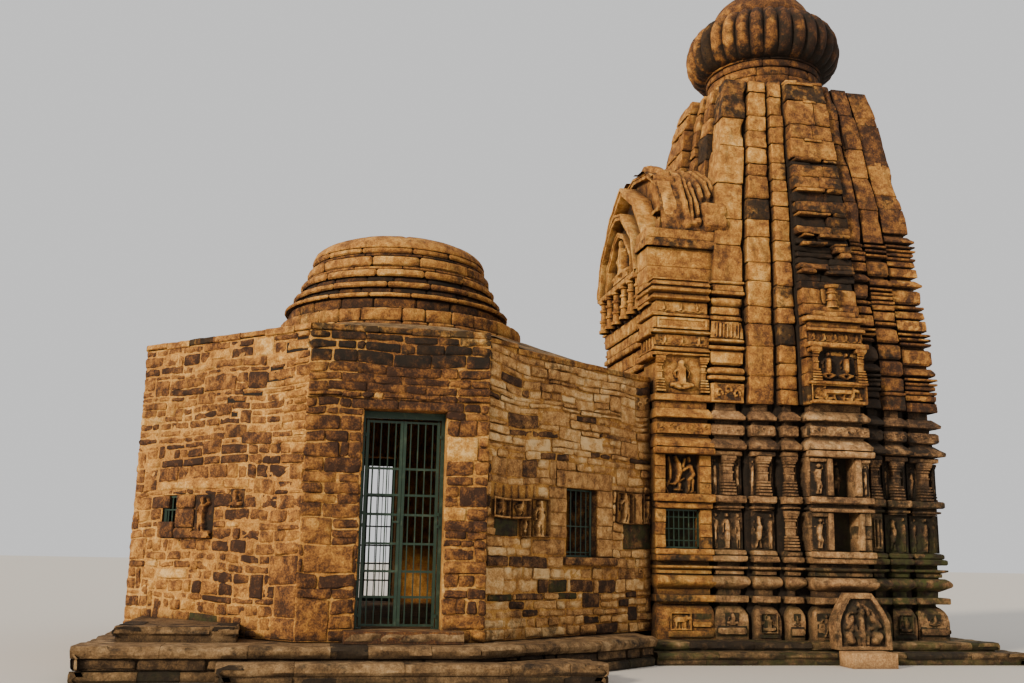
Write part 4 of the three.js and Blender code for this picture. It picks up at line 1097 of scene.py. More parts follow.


# The dome's courses: (low, high, radius, how many stones, lightness, soot). The recessed courses are dark and
# sooty, partly soot and partly painted shade under the projecting ones
DRUM_COURSES = ((4.90, 5.07, 2.14, 26, 0.50, 0.25), (5.07, 5.29, 2.08, 24, 0.52, 0.20))
RING_COURSES = ((5.30, 5.50, 1.87, 22, 0.30, 0.65), (5.50, 5.57, 1.935, 16, 0.60, 0.1),
                (5.575, 5.69, 1.75, 22, 0.26, 0.8), (5.69, 5.785, 1.80, 14, 0.58, 0.12),
                (5.79, 5.90, 1.65, 20, 0.22, 0.9), (5.90, 6.02, 1.69, 13, 0.60, 0.1),
                (6.03, 6.085, 1.61, 13, 0.46, 0.3), (6.095, 6.265, 1.59, 12, 0.60, 0.12),
                (6.28, 6.33, 1.50, 12, 0.28, 0.6), (6.335, 6.43, 1.515, 12, 0.58, 0.1))


def ring_course(heap, x, radius, low, high, count, rng, light, soot, bend, back=-0.25, wobble=0.005):
    """A ring of curved stones."""
    place = round_place(x, 0, radius)
    length = math.tau * radius
    start = rng.uniform(0, length)
    for u0, u1 in runs(edges(start, start + length, length / count, rng, 0.3)):
        # the soot darkens the stones; in the dome's recessed courses it is partly painted shade
        stain = soot * rng.random() if rng.random() < 0.7 else soot * 0.3
        tint = (min(1, max(0, light + rng.uniform(-0.12, 0.12))), min(1, stain), 0.0)
        stone(heap, place, u0, u1, low, high, rng, proud=rng.uniform(-0.012, 0.008), back=back,
              gap=rng.uniform(0.002, 0.005), bend=bend, wobble=wobble, tint=tint,
              cells=(max(3, round((u1 - u0) / 0.10)), 2))


def dome_cap():
    """The smooth cap of eight slabs, with its vault seen from inside in a tint darkened as painted shade."""
    cap = Heap()
    foot, rise, reach = 6.45, 0.43, 1.495
    turns = [i / 14 * math.pi / 2 for i in range(1, 15)]
    profile = [(1.44, 6.425), (1.50, 6.435), (1.505, foot),
               *((reach * math.cos(turn) + 0.002, foot + rise * math.sin(turn)) for turn in turns)]

    def slab(here, j, i):
        radius, height = profile[j]
        joint = 0.012 if i % 15 == 0 and 2 < j < 12 else 0.0
        swell = 0.005 * rough(here, 3) + 0.003 * rough(here, 12) - joint
        light = 0.56 + 0.06 * rough(Vector((i // 15, 0, 0)), 1.3)
        return radius + swell, min(height + swell, 6.874), (light, 0.10 + 0.15 * rough(here, 2), 0.0)

    round_shell(cap, DOME_X, profile, 120, slab)
    low, reach, rise = 6.432, 0.85, 0.23
    round_shell(cap, DOME_X, [(1.44, low), (reach, low)], 64, SHADED_HOLLOW_TINT, way=-1)
    turns = (0, 0.3, 0.6, 0.9, 1.2, 1.5, math.pi / 2 - 0.001)
    vault = [(reach * math.cos(turn), low + rise * math.sin(turn)) for turn in turns]
    round_shell(cap, DOME_X, vault, 64, SHADED_HOLLOW_TINT, way=-1)
    cap.build("cap_slabs", carved, "wall_stone", instead_of=("dome_cap",))


def dome():
    """Stepped rings of stones round a plain hollow core, and a smooth cap."""
    rng = random.Random(9)
    heap = Heap()
    for low, high, radius, count, light, soot in DRUM_COURSES:
        ring_course(heap, DRUM_X, radius, low, high, count, rng, light, soot, 0.022, back=-0.5, wobble=0.009)
    hollow(heap, DRUM_X, [(2.0, 4.9), (2.0, 5.27), (1.5, 5.285)], 1.30, 4.95, 5.29)
    heap.build("drum_stones", carved, "wall_stone", instead_of=("dome_drum",))
    lower, upper = Heap(), Heap()
    for low, high, radius, count, light, soot in RING_COURSES:
        part = lower if high < 5.8 else upper
        ring_course(part, DOME_X, radius, low, high, count, rng, light, soot, min(0.03, (high - low) * 0.3))
    hollow(lower, DOME_X, [(1.80, 5.29), (1.78, 5.5), (1.68, 5.6), (1.66, 5.775), (1.3, 5.78)], 1.30, 5.29,
           5.78)
    hollow(upper, DOME_X, [(1.58, 5.78), (1.55, 6.0), (1.47, 6.1), (1.44, 6.42), (1.0, 6.425)], 1.00, 5.78,
           6.43)
    for part, name in ((lower, "lower"), (upper, "upper")):
        part.build(f"dome_{name}_stones", carved, "wall_stone", instead_of=(f"dome_{name}_rings",))
    dome_cap()


def hollow(heap, x, outer, radius, low, high):
    """The plain core behind a ring's stones, and its round hollow seen from inside, both in a tint darkened
    as painted shade.
    """
    round_shell(heap, x, outer, 64, SHADED_HOLLOW_TINT)
    round_shell(heap, x, [(radius, low), (radius, high)], 64, SHADED_HOLLOW_TINT, way=-1)


# Plinths and steps


def slab_row(heap, place, length, v0, v1, rng, front, back, mean, light, dark=0.1, green=0.0, bend=0.02,
             under=-0.10, broken=0.0, limit=None, soil=0.0):
    """A row of paving slabs whose edges form a step."""
    for u0, u1 in runs(edges(0, length, mean, rng, 0.45)):
        drop = rng.uniform(0, 0.012)
        tint = stone_tint(rng, light, 0.13, dark, green)
        slab_stone(heap, place, u0, u1, v0, v1 - drop, front - rng.uniform(0, 0.02), back, rng,
                   (tint[0], min(1, tint[1] + soil * rng.uniform(0.4, 1)), tint[2]), bend=bend, under=under,
                   broken=broken, limit=limit)


def solid_core(heap, outline, z0, z1, tint):
    """A plain closed body over a plan outline that runs to the left seen from above."""
    x, y = np.mean(np.array(outline), axis=0)
    middle = [(x, y)] * len(outline)
    halfway = [(ax + (x - ax) * 0.5, ay + (y - ay) * 0.5) for ax, ay in outline]
    levels = ((middle, z0), (halfway, z0), (outline, z0), (outline, z1), (halfway, z1), (middle, z1))
    heap.grid(np.array([[(*spot, z) for spot in ring] for ring, z in levels]), tint, wrap=True)


def inset(outline, depth):
    """The outline moved inward, for one that runs to the left seen from above."""
    moved = []
    count = len(outline)
    for i in range(count):
        a, b, c = (Vector(outline[k % count]) for k in (i - 1, i, i + 1))
        first, second = (b - a).normalized(), (c - b).normalized()
        side = Vector((-first.y, first.x)) + Vector((-second.y, second.x))
        moved.append(tuple(b + side * depth / max(1 + first.dot(second), 0.3)))
    return moved


HALL_PLINTH = ((-3.75, -4.723), (1.07, -4.723), (2.24, -4.083), (2.90, -3.743), (4.0, -2.87), (4.0, 2.87),
               (2.90, 3.743), (2.24, 4.083), (1.07, 4.723), (-3.75, 4.723))
FOOTING = ((-3.4, -4.073), (-1.9, -4.073), (-1.9, -3.389), (-3.4, -1.889))
STEP = ((-2.09, -5.048), (2.64, -5.048), (2.64, -4.323), (2.24, -4.085), (1.07, -4.724), (-2.09, -4.724))
# The recessed course under the plinth's slabs: stones of low lightness, many of them dark, as painted shade
# under the overhang
SHADED_LOOSE_COURSE = {"rises": (0.10, 0.14), "mean_wide": 0.5, "dark": 0.35, "base": 0.22}


def across_the_axis(outline):
    """The mirror image of a plan outline, still running to the left."""
    return [(x, -y) for x, y in reversed(outline)]


def plinths():
    """Slabs on the hall's plinth, its steps and footings, and the mossy tower plinth."""
    rng = random.Random(23)
    hall_plinth(rng)
    for back in (False, True):
        steps(rng, back)
    tower_plinth(rng)


def plinth_courses(heap, place, length, rng, slabs, foot):
    """Thick overhanging slabs over a recessed course, painted dark as shade under them, on a rough foot.

    Slabs are (how far out, how far in, lightness, limit), and the foot is (how far out, limit)."""
    out, back, light, limit = slabs
    slab_row(heap, place, length, 0.275, 0.42, rng, out, back, 0.72, light, 0.12, 0.05, 0.045, -0.11, 0.05,
             limit)
    masonry(heap, place, length, [], rng, top=0.275, low=0.13, proud=-0.075, **SHADED_LOOSE_COURSE)
    slab_row(heap, place, length, 0.0, 0.13, rng, foot[0], -0.11, 0.6, 0.34, 0.2, 0.2, 0.03, -0.09, 0.03,
             foot[1])


def hall_plinth(rng):
    """The hall's plinth on all sides, with the footings that stand on it beside the gates."""
    heap = Heap()
    # the core's darker tint is painted shade where it shows between the slabs
    solid_core(heap, inset(HALL_PLINTH, 0.09), 0.0, 0.408, (0.36, 0.15, 0.0))
    for back in (False, True):
        for start, end in zip(HALL_PLINTH[:4], HALL_PLINTH[1:5]):
            place, length = hall_place(start, end, back)
            plinth_courses(heap, place, length, rng, (0.03, -0.62, 0.46, None), (-0.005, None))
        footing = across_the_axis(FOOTING) if back else FOOTING
        solid_core(heap, inset(footing, 0.03), 0.40, 0.59, (0.30, 0.2, 0.0))
        for start, end in (FOOTING[:2], FOOTING[1:3], (FOOTING[3], FOOTING[0])):
            place, length = hall_place(start, end, back)
            slab_row(heap, place, length, 0.475, 0.60, rng, 0.02, -0.30, 0.6, 0.30, 0.3, 0.0, 0.04, -0.09,
                     0.06, soil=0.2)
    place, length = wall_place(HALL_PLINTH[-1], HALL_PLINTH[0])
    plinth_courses(heap, place, length, rng, (-0.004, -0.40, 0.44, -0.003), (-0.01, -0.006))
    heap.build("plinth_slabs", paving, "paving_stone", instead_of=("hall_plinth",))


def steps(rng, back):
    """The long front step, its broken end and the threshold slab."""
    heap = Heap()
    outline = across_the_axis(STEP) if back else STEP
    # the core's darker tint is painted shade where it shows between the slabs
    solid_core(heap, inset(outline, 0.08), 0.0, 0.235, (0.40, 0.1, 0.0))
    place, length = hall_place(STEP[0], STEP[1], back)
    slab_row(heap, place, length, 0.105, 0.25, rng, -0.004, -0.36, 0.95, 0.52, 0.05, 0.0, 0.045, -0.10, 0.05,
             -0.003)
    # the recessed lower row: darker as painted shade under the slabs, with a little moss
    slab_row(heap, place, length, 0.0, 0.10, rng, -0.055, -0.12, 0.8, 0.26, 0.3, 0.15, 0.02, -0.12, 0.02,
             -0.04)
    for start, end in (STEP[1:3], (STEP[5], STEP[0])):
        place, length = hall_place(start, end, back)
        slab_row(heap, place, length, 0.10, 0.245, rng, -0.004, -0.3, 0.6, 0.46, 0.1, 0.0, 0.04, -0.09, 0.05,
                 -0.003)
        # the recessed lower row: darker as painted shade under the slabs, with a little moss
        slab_row(heap, place, length, 0.0, 0.10, rng, -0.04, -0.12, 0.6, 0.30, 0.2, 0.1, 0.02, -0.09, 0.02,
                 -0.03)
    place, length = hall_place((-0.61, -4.373), (0.91, -4.373), back)
    slab_row(heap, place, length, 0.425, 0.572, rng, 0.012, -0.28, 0.8, 0.46, 0.05, 0.0, 0.03, -0.05, 0.03)
    name = "back_step" if back else "front_step"
    heap.build(f"{name}_slabs", paving, "paving_stone", instead_of=(name,))


def tower_plinth(rng):
    """Two courses of mossy slabs round the tower, and the loose block before it."""
    heap = Heap()
    wide, narrow = 2.87, 2.56
    for out, v0, v1 in ((wide, 0.0, 0.18), (narrow, 0.18, 0.31)):
        half, east = out - 0.06, TOWER_X + out - 0.06
        outline = ((PLINTH_WEST, -half), (east, -half), (east, half), (PLINTH_WEST, half))
        solid_core(heap, outline, v0, v1, (0.22, 0.35, 0.5))
    for quarter in range(3):
        place, length = plinth_side(quarter, wide)
        slab_row(heap, place, length, 0.085, 0.19, rng, -0.003, -0.36, 0.8, 0.28, 0.35, 0.8, 0.035, -0.08,
                 0.05, -0.002, soil=0.3)
        slab_row(heap, place, length, 0.0, 0.08, rng, -0.04, -0.10, 0.6, 0.22, 0.4, 0.7, 0.02, -0.08, 0.02,
                 -0.03, soil=0.3)
        place, length = plinth_side(quarter, narrow)
        slab_row(heap, place, length, 0.20, 0.32, rng, 0.012, -0.36, 0.85, 0.34, 0.3, 0.8, 0.03, -0.06, 0.05,
                 soil=0.25)
    place, length = wall_place((6.88, -3.29), (7.60, -3.29))
    slab_row(heap, place, length, 0.0, 0.222, rng, 0.0, -0.40, 0.8, 0.58, 0.0, broken=0.02)
    heap.build("tower_plinth_slabs", paving, "paving_stone", instead_of=("tower_plinth",))


def plinth_side(quarter, out):
    """A side of the tower's plinth: front, east or back."""
    east = TOWER_X + out
    corners = ((PLINTH_WEST, -out), (east, -out), (east, out), (PLINTH_WEST, out))
    return wall_place(*corners[quarter:quarter + 2])


# The tower. A side's own plan: u runs along the side, seen from outside to the right, and w runs outward.


def tower_way(quarter):
    """Turns (u, w) of a side into the plan: 0 is the front, 1 the east side, 2 the back, 3 the west side."""
    c, s = round(math.cos(quarter * math.pi / 2)), round(math.sin(quarter * math.pi / 2))
    return lambda u, w: (TOWER_X + u * c + w * s, u * s - w * c)


def all_round(side):
    """A ring of (x, y) round the tower, from the left half of a side's (u, w) points."""
    side = side + [(-u, w) for u, w in reversed(side)][:-1]
    return [tower_way(quarter)(u, w) for quarter in range(4) for u, w in side]


def section(u0, u1, plane, depth=0.30, squeeze=0.75):
    """The plan of a pier: side, face and side, as (u, w, move of u, move of w) at each column."""
    return spread([(u0, plane - depth, -squeeze, 0.0), (u0, plane, -squeeze, 1.0), (u1, plane, squeeze, 1.0),
                   (u1, plane - depth, squeeze, 0.0)])


def corner_section(u0, u1, plane, depth=0.30):
    """The plan of a corner pier, which has a face on two sides of the tower."""
    return spread([(u0 + depth, -u1, 0.0, -0.75), (u0, -u1, -1.0, -0.75), (u0, plane, -1.0, 1.0),
                   (u1, plane, 0.75, 1.0), (u1, plane - depth, 0.75, 0.0)])


def spread(corners, cell=0.085):
    """More columns between the corners of a plan. A fifth value marks the corners that are worn."""
    columns = [(*corners[0], 0.0)]
    for a, b in runs(corners):
        count = max(1, round(math.hypot(b[0] - a[0], b[1] - a[1]) / cell))
        for i in range(1, count + 1):
            t = i / count
            sharp = 1.0 if i == count and b is not corners[-1] else 0.0
            columns.append((*(a[k] + (b[k] - a[k]) * t for k in range(4)), sharp))
    return columns


def moulded(heap, way, columns, rows, scale=None, wear=0.006, chip=0.03, seed=0.0):
    """A pier swept up its profile. Each row is (height, how far out, tint)."""
    points = np.empty((len(rows), len(columns), 3))
    tints = np.empty((len(rows), len(columns), 3))
    for j, (z, n, shade_of) in enumerate(rows):
        k = scale(z) if scale else 1.0
        for i, (u, w, mu, mw, sharp) in enumerate(columns):
            aside = mu * n if n < 0 or abs(mu) == 1.0 else mu * n * 0.45
            x, y = way(u * k + aside, w * k + mw * n)
            here = Vector((x, y, z))
            off = wear * rough(here, 4.5, seed) + wear * 0.7 * rough(here, 17, seed)
            if sharp:
                off -= chip * max(0.0, rough(here, 2.6, seed + 4) - 0.12) * 2
            x, y = way(u * k + aside + mu * off, w * k + mw * (n + off))
            points[j, i] = (x, y, z + wear * 0.6 * rough(here, 8, seed + 9))
            tints[j, i] = shade_of
    heap.grid(points, tints)


class Profile:
    """Rows of a pier's profile, from the foot up. Each course has its own tint."""

    def __init__(self, rng, light=0.52, stain=0.12, green=0.0, black=None):
        """Green is the moss at the foot, and black (low, high, how much) a darker band between two heights.
        """
        self.rows, self.rng = [], rng
        self.light, self.stain, self.green, self.black = light, stain, green, black

    def tint(self, z):
        """A tint for the course at a height."""
        rng = self.rng
        stain = self.stain * rng.random() + (0.5 * rng.random() if rng.random() < 0.10 else 0)
        if self.black:
            low, high, most = self.black
            inside = smooth_step((z - low) / 0.4) * smooth_step((high - z) / 0.4)
            stain += most * inside * rng.uniform(0.35, 1.0)
        moss = self.green * (1 - smooth_step((z - 0.3) / 3.4)) * rng.random()
        return (min(1, max(0, self.light + rng.uniform(-0.13, 0.13))), min(1, stain), moss)

    def add(self, shape, tint=None):
        """Rows of (height, how far out) that share a tint."""
        tint = tint or self.tint(shape[0][0])
        self.rows += [(z, n, tint) for z, n in shape]

    def course(self, z0, z1, n, bevel=0.012, cell=0.12):
        """A plain block course with a dark joint over it."""
        gap, sunk = 0.004, 0.02
        bevel = min(bevel, (z1 - z0) * 0.25)
        count = max(1, round((z1 - z0 - 2 * bevel) / cell))
        face = z1 - z0 - 2 * gap - 2 * bevel
        rows = [(z0 + gap, n - bevel - sunk), (z0 + gap, n - bevel)]
        rows += [(z0 + gap + bevel + face * i / count, n) for i in range(count + 1)]
        self.add([*rows, (z1 - gap, n - bevel), (z1 - gap, n - bevel - sunk)])

    def slab(self, z0, z1, n, under=0.5):
        """A thin projecting slab with a sloped underside and a drip edge."""
        high = z1 - z0
        self.add([(z0, n - 0.07), (z0 + high * under * 0.6, n - 0.008), (z0 + high * under, n),
                  (z1 - high * 0.15, n), (z1, n - 0.012), (z1, n - 0.07)])

    def cup(self, z0, z1, n0, n1):
        """A cup moulding: it swells upwards to a rounded lip."""
        shares = ((0.0, 0.0), (0.06, 0.16), (0.22, 0.56), (0.36, 0.88), (0.48, 1.0), (0.62, 1.0),
                  (0.74, 0.92), (0.86, 0.76), (0.95, 0.58), (1.0, 0.44))
        self.add([(z0 + (z1 - z0) * t, n0 + (n1 - n0) * s) for t, s in shares])

    def hood(self, z0, z1, n0, n1):
        """A cornice: an upright lip with a roof-like slope over it."""
        high = z1 - z0
        self.add([(z0, n0 - 0.03), (z0 + 0.01, n1 - 0.02), (z0 + 0.02, n1), (z0 + high * 0.38, n1 + 0.004),
                  (z0 + high * 0.46, n1 - 0.012), (z0 + high * 0.75, n0 + (n1 - n0) * 0.42), (z1, n0)])

    def neck(self, z0, z1, n):
        """A recess between two mouldings, painted darker and stained as shade."""
        self.add([(z0, n), (z1, n)], (self.light * 0.85, 0.25, 0.0))


def wall_profile(rng, light, stain, green, black=None):
    """The wall's mouldings, the same on every pier."""
    p = Profile(rng, light, stain, green, black)
    sunk = -0.14
    p.add([(0.30, 0.0), (0.335, 0.0)])
    p.add([(0.34, 0.0), (0.50, 0.006), (0.60, 0.006), (0.69, -0.008), (0.76, -0.040), (0.81, -0.085),
           (0.84, -0.13)])
    p.neck(0.842, 0.872, -0.13)
    p.course(0.874, 0.985, 0.032, 0.014, 0.06)
    p.neck(0.987, 1.075, -0.10)
    p.cup(1.076, 1.285, -0.085, 0.068)
    p.neck(1.287, 1.300, -0.085)
    p.course(1.301, 1.372, -0.045, 0.008, 0.06)
    p.slab(1.378, 1.432, 0.028, 0.6)
    p.neck(1.433, 1.500, -0.095)
    p.course(1.502, 1.60, 0.025, 0.018, 0.05)
    p.course(1.60, 1.69, -0.005, 0.018, 0.06)
    p.add([(1.692, -0.03), (1.70, sunk), (1.9, sunk), (2.1, sunk), (2.315, sunk)])
    p.neck(2.316, 2.335, -0.06)
    p.slab(2.335, 2.385, -0.015)
    p.neck(2.386, 2.43, -0.06)
    p.course(2.432, 2.55, 0.03, 0.02, 0.06)
    p.add([(2.552, -0.03), (2.56, sunk), (2.75, sunk), (2.95, sunk), (3.185, sunk)])
    p.course(3.188, 3.275, -0.01, 0.012, 0.05)
    p.hood(3.285, 3.475, -0.06, 0.075)
    p.neck(3.477, 3.51, -0.07)
    p.course(3.51, 3.70, 0.012, 0.035, 0.06)
    p.neck(3.702, 3.76, -0.09)
    p.hood(3.76, 3.93, -0.07, 0.04)
    p.neck(3.932, WALL_HEAD, -0.11)
    return p.rows


# A banded pilaster's profile, as shares of its height and how far out in metres
BANDS = ((0.0, 0.035), (0.05, 0.035), (0.055, 0.005), (0.085, 0.005), (0.09, 0.030), (0.13, 0.030),
         (0.135, 0.002), (0.165, 0.002), (0.17, 0.026), (0.205, 0.026), (0.21, 0.0), (0.24, 0.0),
         (0.245, 0.020), (0.285, 0.020), (0.29, -0.004), (0.32, -0.004), (0.325, 0.012), (0.36, 0.012),
         (0.365, -0.025), (0.56, -0.025), (0.565, -0.008), (0.60, -0.008), (0.605, -0.028), (0.74, -0.028),
         (0.745, -0.006), (0.78, -0.006), (0.785, -0.020), (0.82, -0.020), (0.825, 0.004), (0.87, 0.012),
         (0.875, 0.026), (0.93, 0.034), (0.935, 0.040), (1.0, 0.040))


def round_the_niches(heap, way, columns, rows, back, seed):
    """The profile's parts below, between and over the niches, closed towards the back."""
    for low, high in ((0.0, 1.692), (2.316, 2.552), (3.188, 5.0)):
        part = [row for row in rows if low <= row[0] <= high]
        (foot, _, foot_tint), (head, _, head_tint) = part[0], part[-1]
        if low > 0:
            part.insert(0, (foot, back, foot_tint))
        if high < WALL_HEAD:
            part.append((head if low > 0 else NICHE_LEVELS[0][0], back, head_tint))
        moulded(heap, way, columns, part, seed=seed)


def banded_pillar(heap, place, u, wide, v0, v1, foot, front, rng, light):
    """A pilaster with many thin bands, standing in a panel."""
    half = wide / 2 - 0.012
    columns = spread([(u - half, foot, -0.5, 0.0), (u - half, 0.0, -1.0, 1.0), (u + half, 0.0, 1.0, 1.0),
                      (u + half, foot, 0.5, 0.0)], 0.05)
    tint = (min(1, max(0, light + rng.uniform(-0.06, 0.10))), 0.10 * rng.random(), 0.0)
    points = np.empty((len(BANDS), len(columns), 3))
    for j, (share, n) in enumerate(BANDS):
        v = v0 + (v1 - v0) * share
        for i, (across, depth, aside, _, _) in enumerate(columns):
            out = front + n if depth == 0.0 else foot
            here = place(across, v, out)
            points[j, i] = place(across + aside * n * 0.7, v, out + 0.006 * rough(here, 14))
    heap.grid(points, tint)


# The piers of a side, from its middle outward: inner edge, outer edge and plane
MIDDLE_PIER = (0.0, 0.53, 2.43)
SECOND_PIER = (0.605, 0.885, 2.23)
FIRST_PIER = (0.97, 1.39, 2.13)
CORNER_PIER = (1.475, 2.03, 2.03)
# The levels of the carved panels between the mouldings, and of the niches there
PANEL_LEVELS = ((1.70, 2.315), (2.56, 3.185))
NICHE_LEVELS = ((1.695, 2.316), (2.553, 3.188))
# Painted shade: the near-black tint of the cores that show in the slots between the piers
SHADE_CORE_TINT = (0.10, 0.75, 0.0)


def side_place(quarter, plane):
    """A place on a side's upright plane: across is u, out is from the plane."""
    way = tower_way(quarter)

    def place(u, v, n):
        x, y = way(u, plane + n)
        return Vector((x, y, v))

    return place


def wall_side(heap, quarter, rng):
    """One side of the tower's wall: piers with mouldings and panels, and niches in the middle one."""
    way = tower_way(quarter)
    first = quarter == 0
    dark_band = (2.6, 4.3, 0.85) if first else None
    lights = ((CORNER_PIER, 0.54), (FIRST_PIER, 0.53), (SECOND_PIER, 0.52))
    piers = [(-outer, -inner, plane, light, None) for (inner, outer, plane), light in lights]
    half, middle_plane = MIDDLE_PIER[1:]
    piers += [(-half, half, middle_plane, 0.55, None), (*SECOND_PIER, 0.40, dark_band), (*FIRST_PIER, 0.48, None),
              (*CORNER_PIER, 0.48, None)]
    for u0, u1, plane, light, black in piers:
        rows = wall_profile(rng, light, 0.16, 0.55 if u0 > 0.5 or not first else 0.25, black)
        if plane == middle_plane:
            middle_pier(heap, way, quarter, rows, rng)
            continue
        columns = section(u0, u1, plane)
        if plane == CORNER_PIER[2] and u0 < 0:
            columns = corner_section(u0, u1, plane)
        elif plane == CORNER_PIER[2] and first:
            turned = reversed(corner_section(-u1, -u0, plane))
            columns = [(-u, w, -mu, mw, sharp) for u, w, mu, mw, sharp in turned]
        moulded(heap, way, columns, rows, seed=quarter)
        pier_carving(heap, quarter, u0, u1, plane, rng, light)


# A rearing animal over a little figure, as strokes
REARING_BEAST = ((0.45, 0.30, 0.55, 0.58, 0.24), (0.55, 0.60, 0.48, 0.80, 0.17),
                 (0.44, 0.84, 0.62, 0.82, 0.14), (0.45, 0.30, 0.30, 0.08, 0.11),
                 (0.55, 0.28, 0.62, 0.06, 0.11), (0.58, 0.55, 0.80, 0.62, 0.09),
                 (0.56, 0.48, 0.80, 0.46, 0.08), (0.28, 0.42, 0.14, 0.60, 0.06),
                 (0.14, 0.60, 0.22, 0.76, 0.05))


def pier_carving(heap, quarter, u0, u1, plane, rng, light):
    """Pilasters, figures and friezes of one pier."""
    place = side_place(quarter, plane)
    wide = u1 - u0
    tint = (light + 0.04, 0.10, 0.0)
    low = (light - 0.05, 0.12, 0.2)
    ground = -0.13
    if rng.random() < 0.55:
        strokes = figure(rng, rng.choice((-1, 0, 1)), True, 0.2) if wide < 0.5 else beast(rng.choice((-1, 1)))
        rim = wide * rng.uniform(0.14, 0.24)
        panel(heap, place, u0 + rim, u1 - rim, 0.42, 0.71, strokes, 0.045, 0.006, low, frame_wide=0.016)
        panel(heap, place, u0 + 0.04, u1 - 0.04, 0.345, 0.395, [], 0.03, 0.028, low)
    else:
        panel(heap, place, u0 + 0.03, u1 - 0.03, 0.36, 0.52, [(0.08, 0.5, 0.9, 0.5, 0.5)], 0.05, 0.008, low)
        strokes = figure(rng, 0, True, 0.2)
        panel(heap, place, u0 + wide * 0.3, u1 - wide * 0.28, 0.52, 0.72, strokes, 0.045, 0.006, low)

    def carve(a, b, strokes, front, relief=1.0):
        panel(heap, place, a, b, v0, v1, strokes, front, ground, tint, relief=relief)

    def pillar(middle, thick, front):
        banded_pillar(heap, place, middle, thick, v0, v1, ground, front, rng, light)

    for lower, (v0, v1) in zip((True, False), PANEL_LEVELS):
        if wide > 0.5:
            third = wide * 0.29
            carve(u0 + 0.01, u0 + third, figure(rng, -1, wide=0.24), -0.01)
            if lower:
                carve(u0 + third, u1 - third, figure(rng, 0, wide=0.26), 0.015)
            else:
                pillar((u0 + u1) / 2, wide * 0.38, -0.005)
            carve(u1 - third, u1 - 0.01, figure(rng, 1, wide=0.24), -0.02)
        elif wide > 0.4:
            if lower:
                carve(u0 + 0.01, u0 + wide * 0.62, REARING_BEAST, 0.01, relief=1.3)
                carve(u0 + wide * 0.62, u1 - 0.01, figure(rng, 0, wide=0.3), 0.0)
            else:
                carve(u0 + 0.01, u0 + wide * 0.25, figure(rng, 1, wide=0.3), -0.02)
                pillar((u0 + u1) / 2, wide * 0.46, 0.0)
                carve(u1 - wide * 0.25, u1 - 0.01, figure(rng, 1, wide=0.3), -0.03)
        elif lower and rng.random() < 0.5:
            stone(heap, place, u0 + 0.02, u1 - 0.05, v0, v1, rng, proud=-0.03, back=ground, bend=0.012,
                  cells=(4, 8), tint=(light, 0.10, 0.0))
            panel(heap, place, u0 + 0.05, u1 - 0.09, v0 + 0.06, v1 - 0.07, [(0.5, 0.1, 0.5, 0.9, 0.4)], 0.0,
                  -0.028, tint, frame_wide=0.02)
        else:
            pillar(u0 + wide * 0.42, wide * 0.66, -0.005)
            carve(u1 - wide * 0.26, u1, figure(rng, 1, wide=0.3), -0.04)
    panel(heap, place, u0 + 0.02, u1 - 0.02, 3.53, 3.675, scroll(max(2, round(wide / 0.16))), 0.045, 0.016,
          (light, 0.1, 0.0), ground=0.35)


def middle_pier(heap, way, quarter, rows, rng):
    """The central pier: its mouldings run whole between the niches, and jambs stand beside them."""
    half, plane = MIDDLE_PIER[1:]
    place = side_place(quarter, plane)
    round_the_niches(heap, way, section(-half, half, plane), rows, -0.30, quarter + 2)
    for k, (v0, v1) in enumerate(NICHE_LEVELS):
        left, right = ((-0.15, 0.29), (-0.13, 0.26))[k] if quarter == 0 else (-0.25, 0.25)
        for a, b in ((-half, left), (right, half)):
            jamb = Profile(rng, 0.52, 0.10)
            for low, high in runs(courses(v0, v1, 0.14, 0.26, rng)):
                jamb.course(low, high, -0.055 + rng.uniform(-0.010, 0.010), bevel=0.008, cell=0.08)
            moulded(heap, way, section(a, b, plane, depth=0.42, squeeze=0.05), jamb.rows, seed=k + quarter)
            wide = b - a
            rim = min(0.11, wide * 0.4)
            edge = (b - rim, b) if a < 0 else (a, a + rim)
            stone(heap, place, *edge, v0 + 0.01, v1 - 0.01, rng, proud=0.01, back=-0.4, bend=0.012,
                  cells=(2, 6), tint=(0.56, 0.05, 0.0))
            if wide > 0.25:
                outer = (a + 0.02, edge[0] - 0.01) if a < 0 else (edge[1] + 0.01, b - 0.02)
                panel(heap, place, *outer, v0 + 0.03, v1 - 0.08, figure(rng, 1, wide=0.24), 0.015, -0.05,
                      (0.52, 0.10, 0))
                ledge(heap, place, outer[0] - 0.01, outer[1] + 0.01, v1 - 0.08, v1 - 0.02, 0.015, rng,
                      (0.54, 0.1, 0))
        # the back of the niche, darker and stained as painted shade, and a small standing figure in the upper
        # one
        strokes = figure(rng, 0, wide=0.2) if k == 1 else []
        panel(heap, place, left - 0.02, right + 0.02, v0 - 0.01, v1 + 0.01, strokes, -0.16, -0.335,
              (0.34, 0.30, 0.1))
        # a rough lintel over the opening and a thick worn sill under it
        ledge(heap, place, -half - 0.02, half + 0.02, v1 - 0.005, v1 + 0.05, 0.05, rng, (0.55, 0.08, 0.0))
        ledge(heap, place, -half - 0.03, half + 0.02, v0 - 0.10, v0 - 0.005, 0.06, rng, (0.54, 0.10, 0.0))
    feet = ((-0.51, -0.2, figure(rng, 1)), (-0.17, 0.17, figure(rng, 0, True)), (0.2, 0.51, figure(rng, -1)))
    for a, b, strokes in feet:
        panel(heap, place, a, b, 0.38, 0.74, strokes, 0.055, 0.006, (0.46, 0.15, 0.2))
    panel(heap, place, -0.52, 0.52, 3.53, 3.675, scroll(7), 0.05, 0.016, (0.52, 0.10, 0.0), ground=0.35)
    ledge(heap, place, -0.57, 0.57, 3.188, 3.282, 0.085, rng, (0.55, 0.10, 0.0))


# The spire


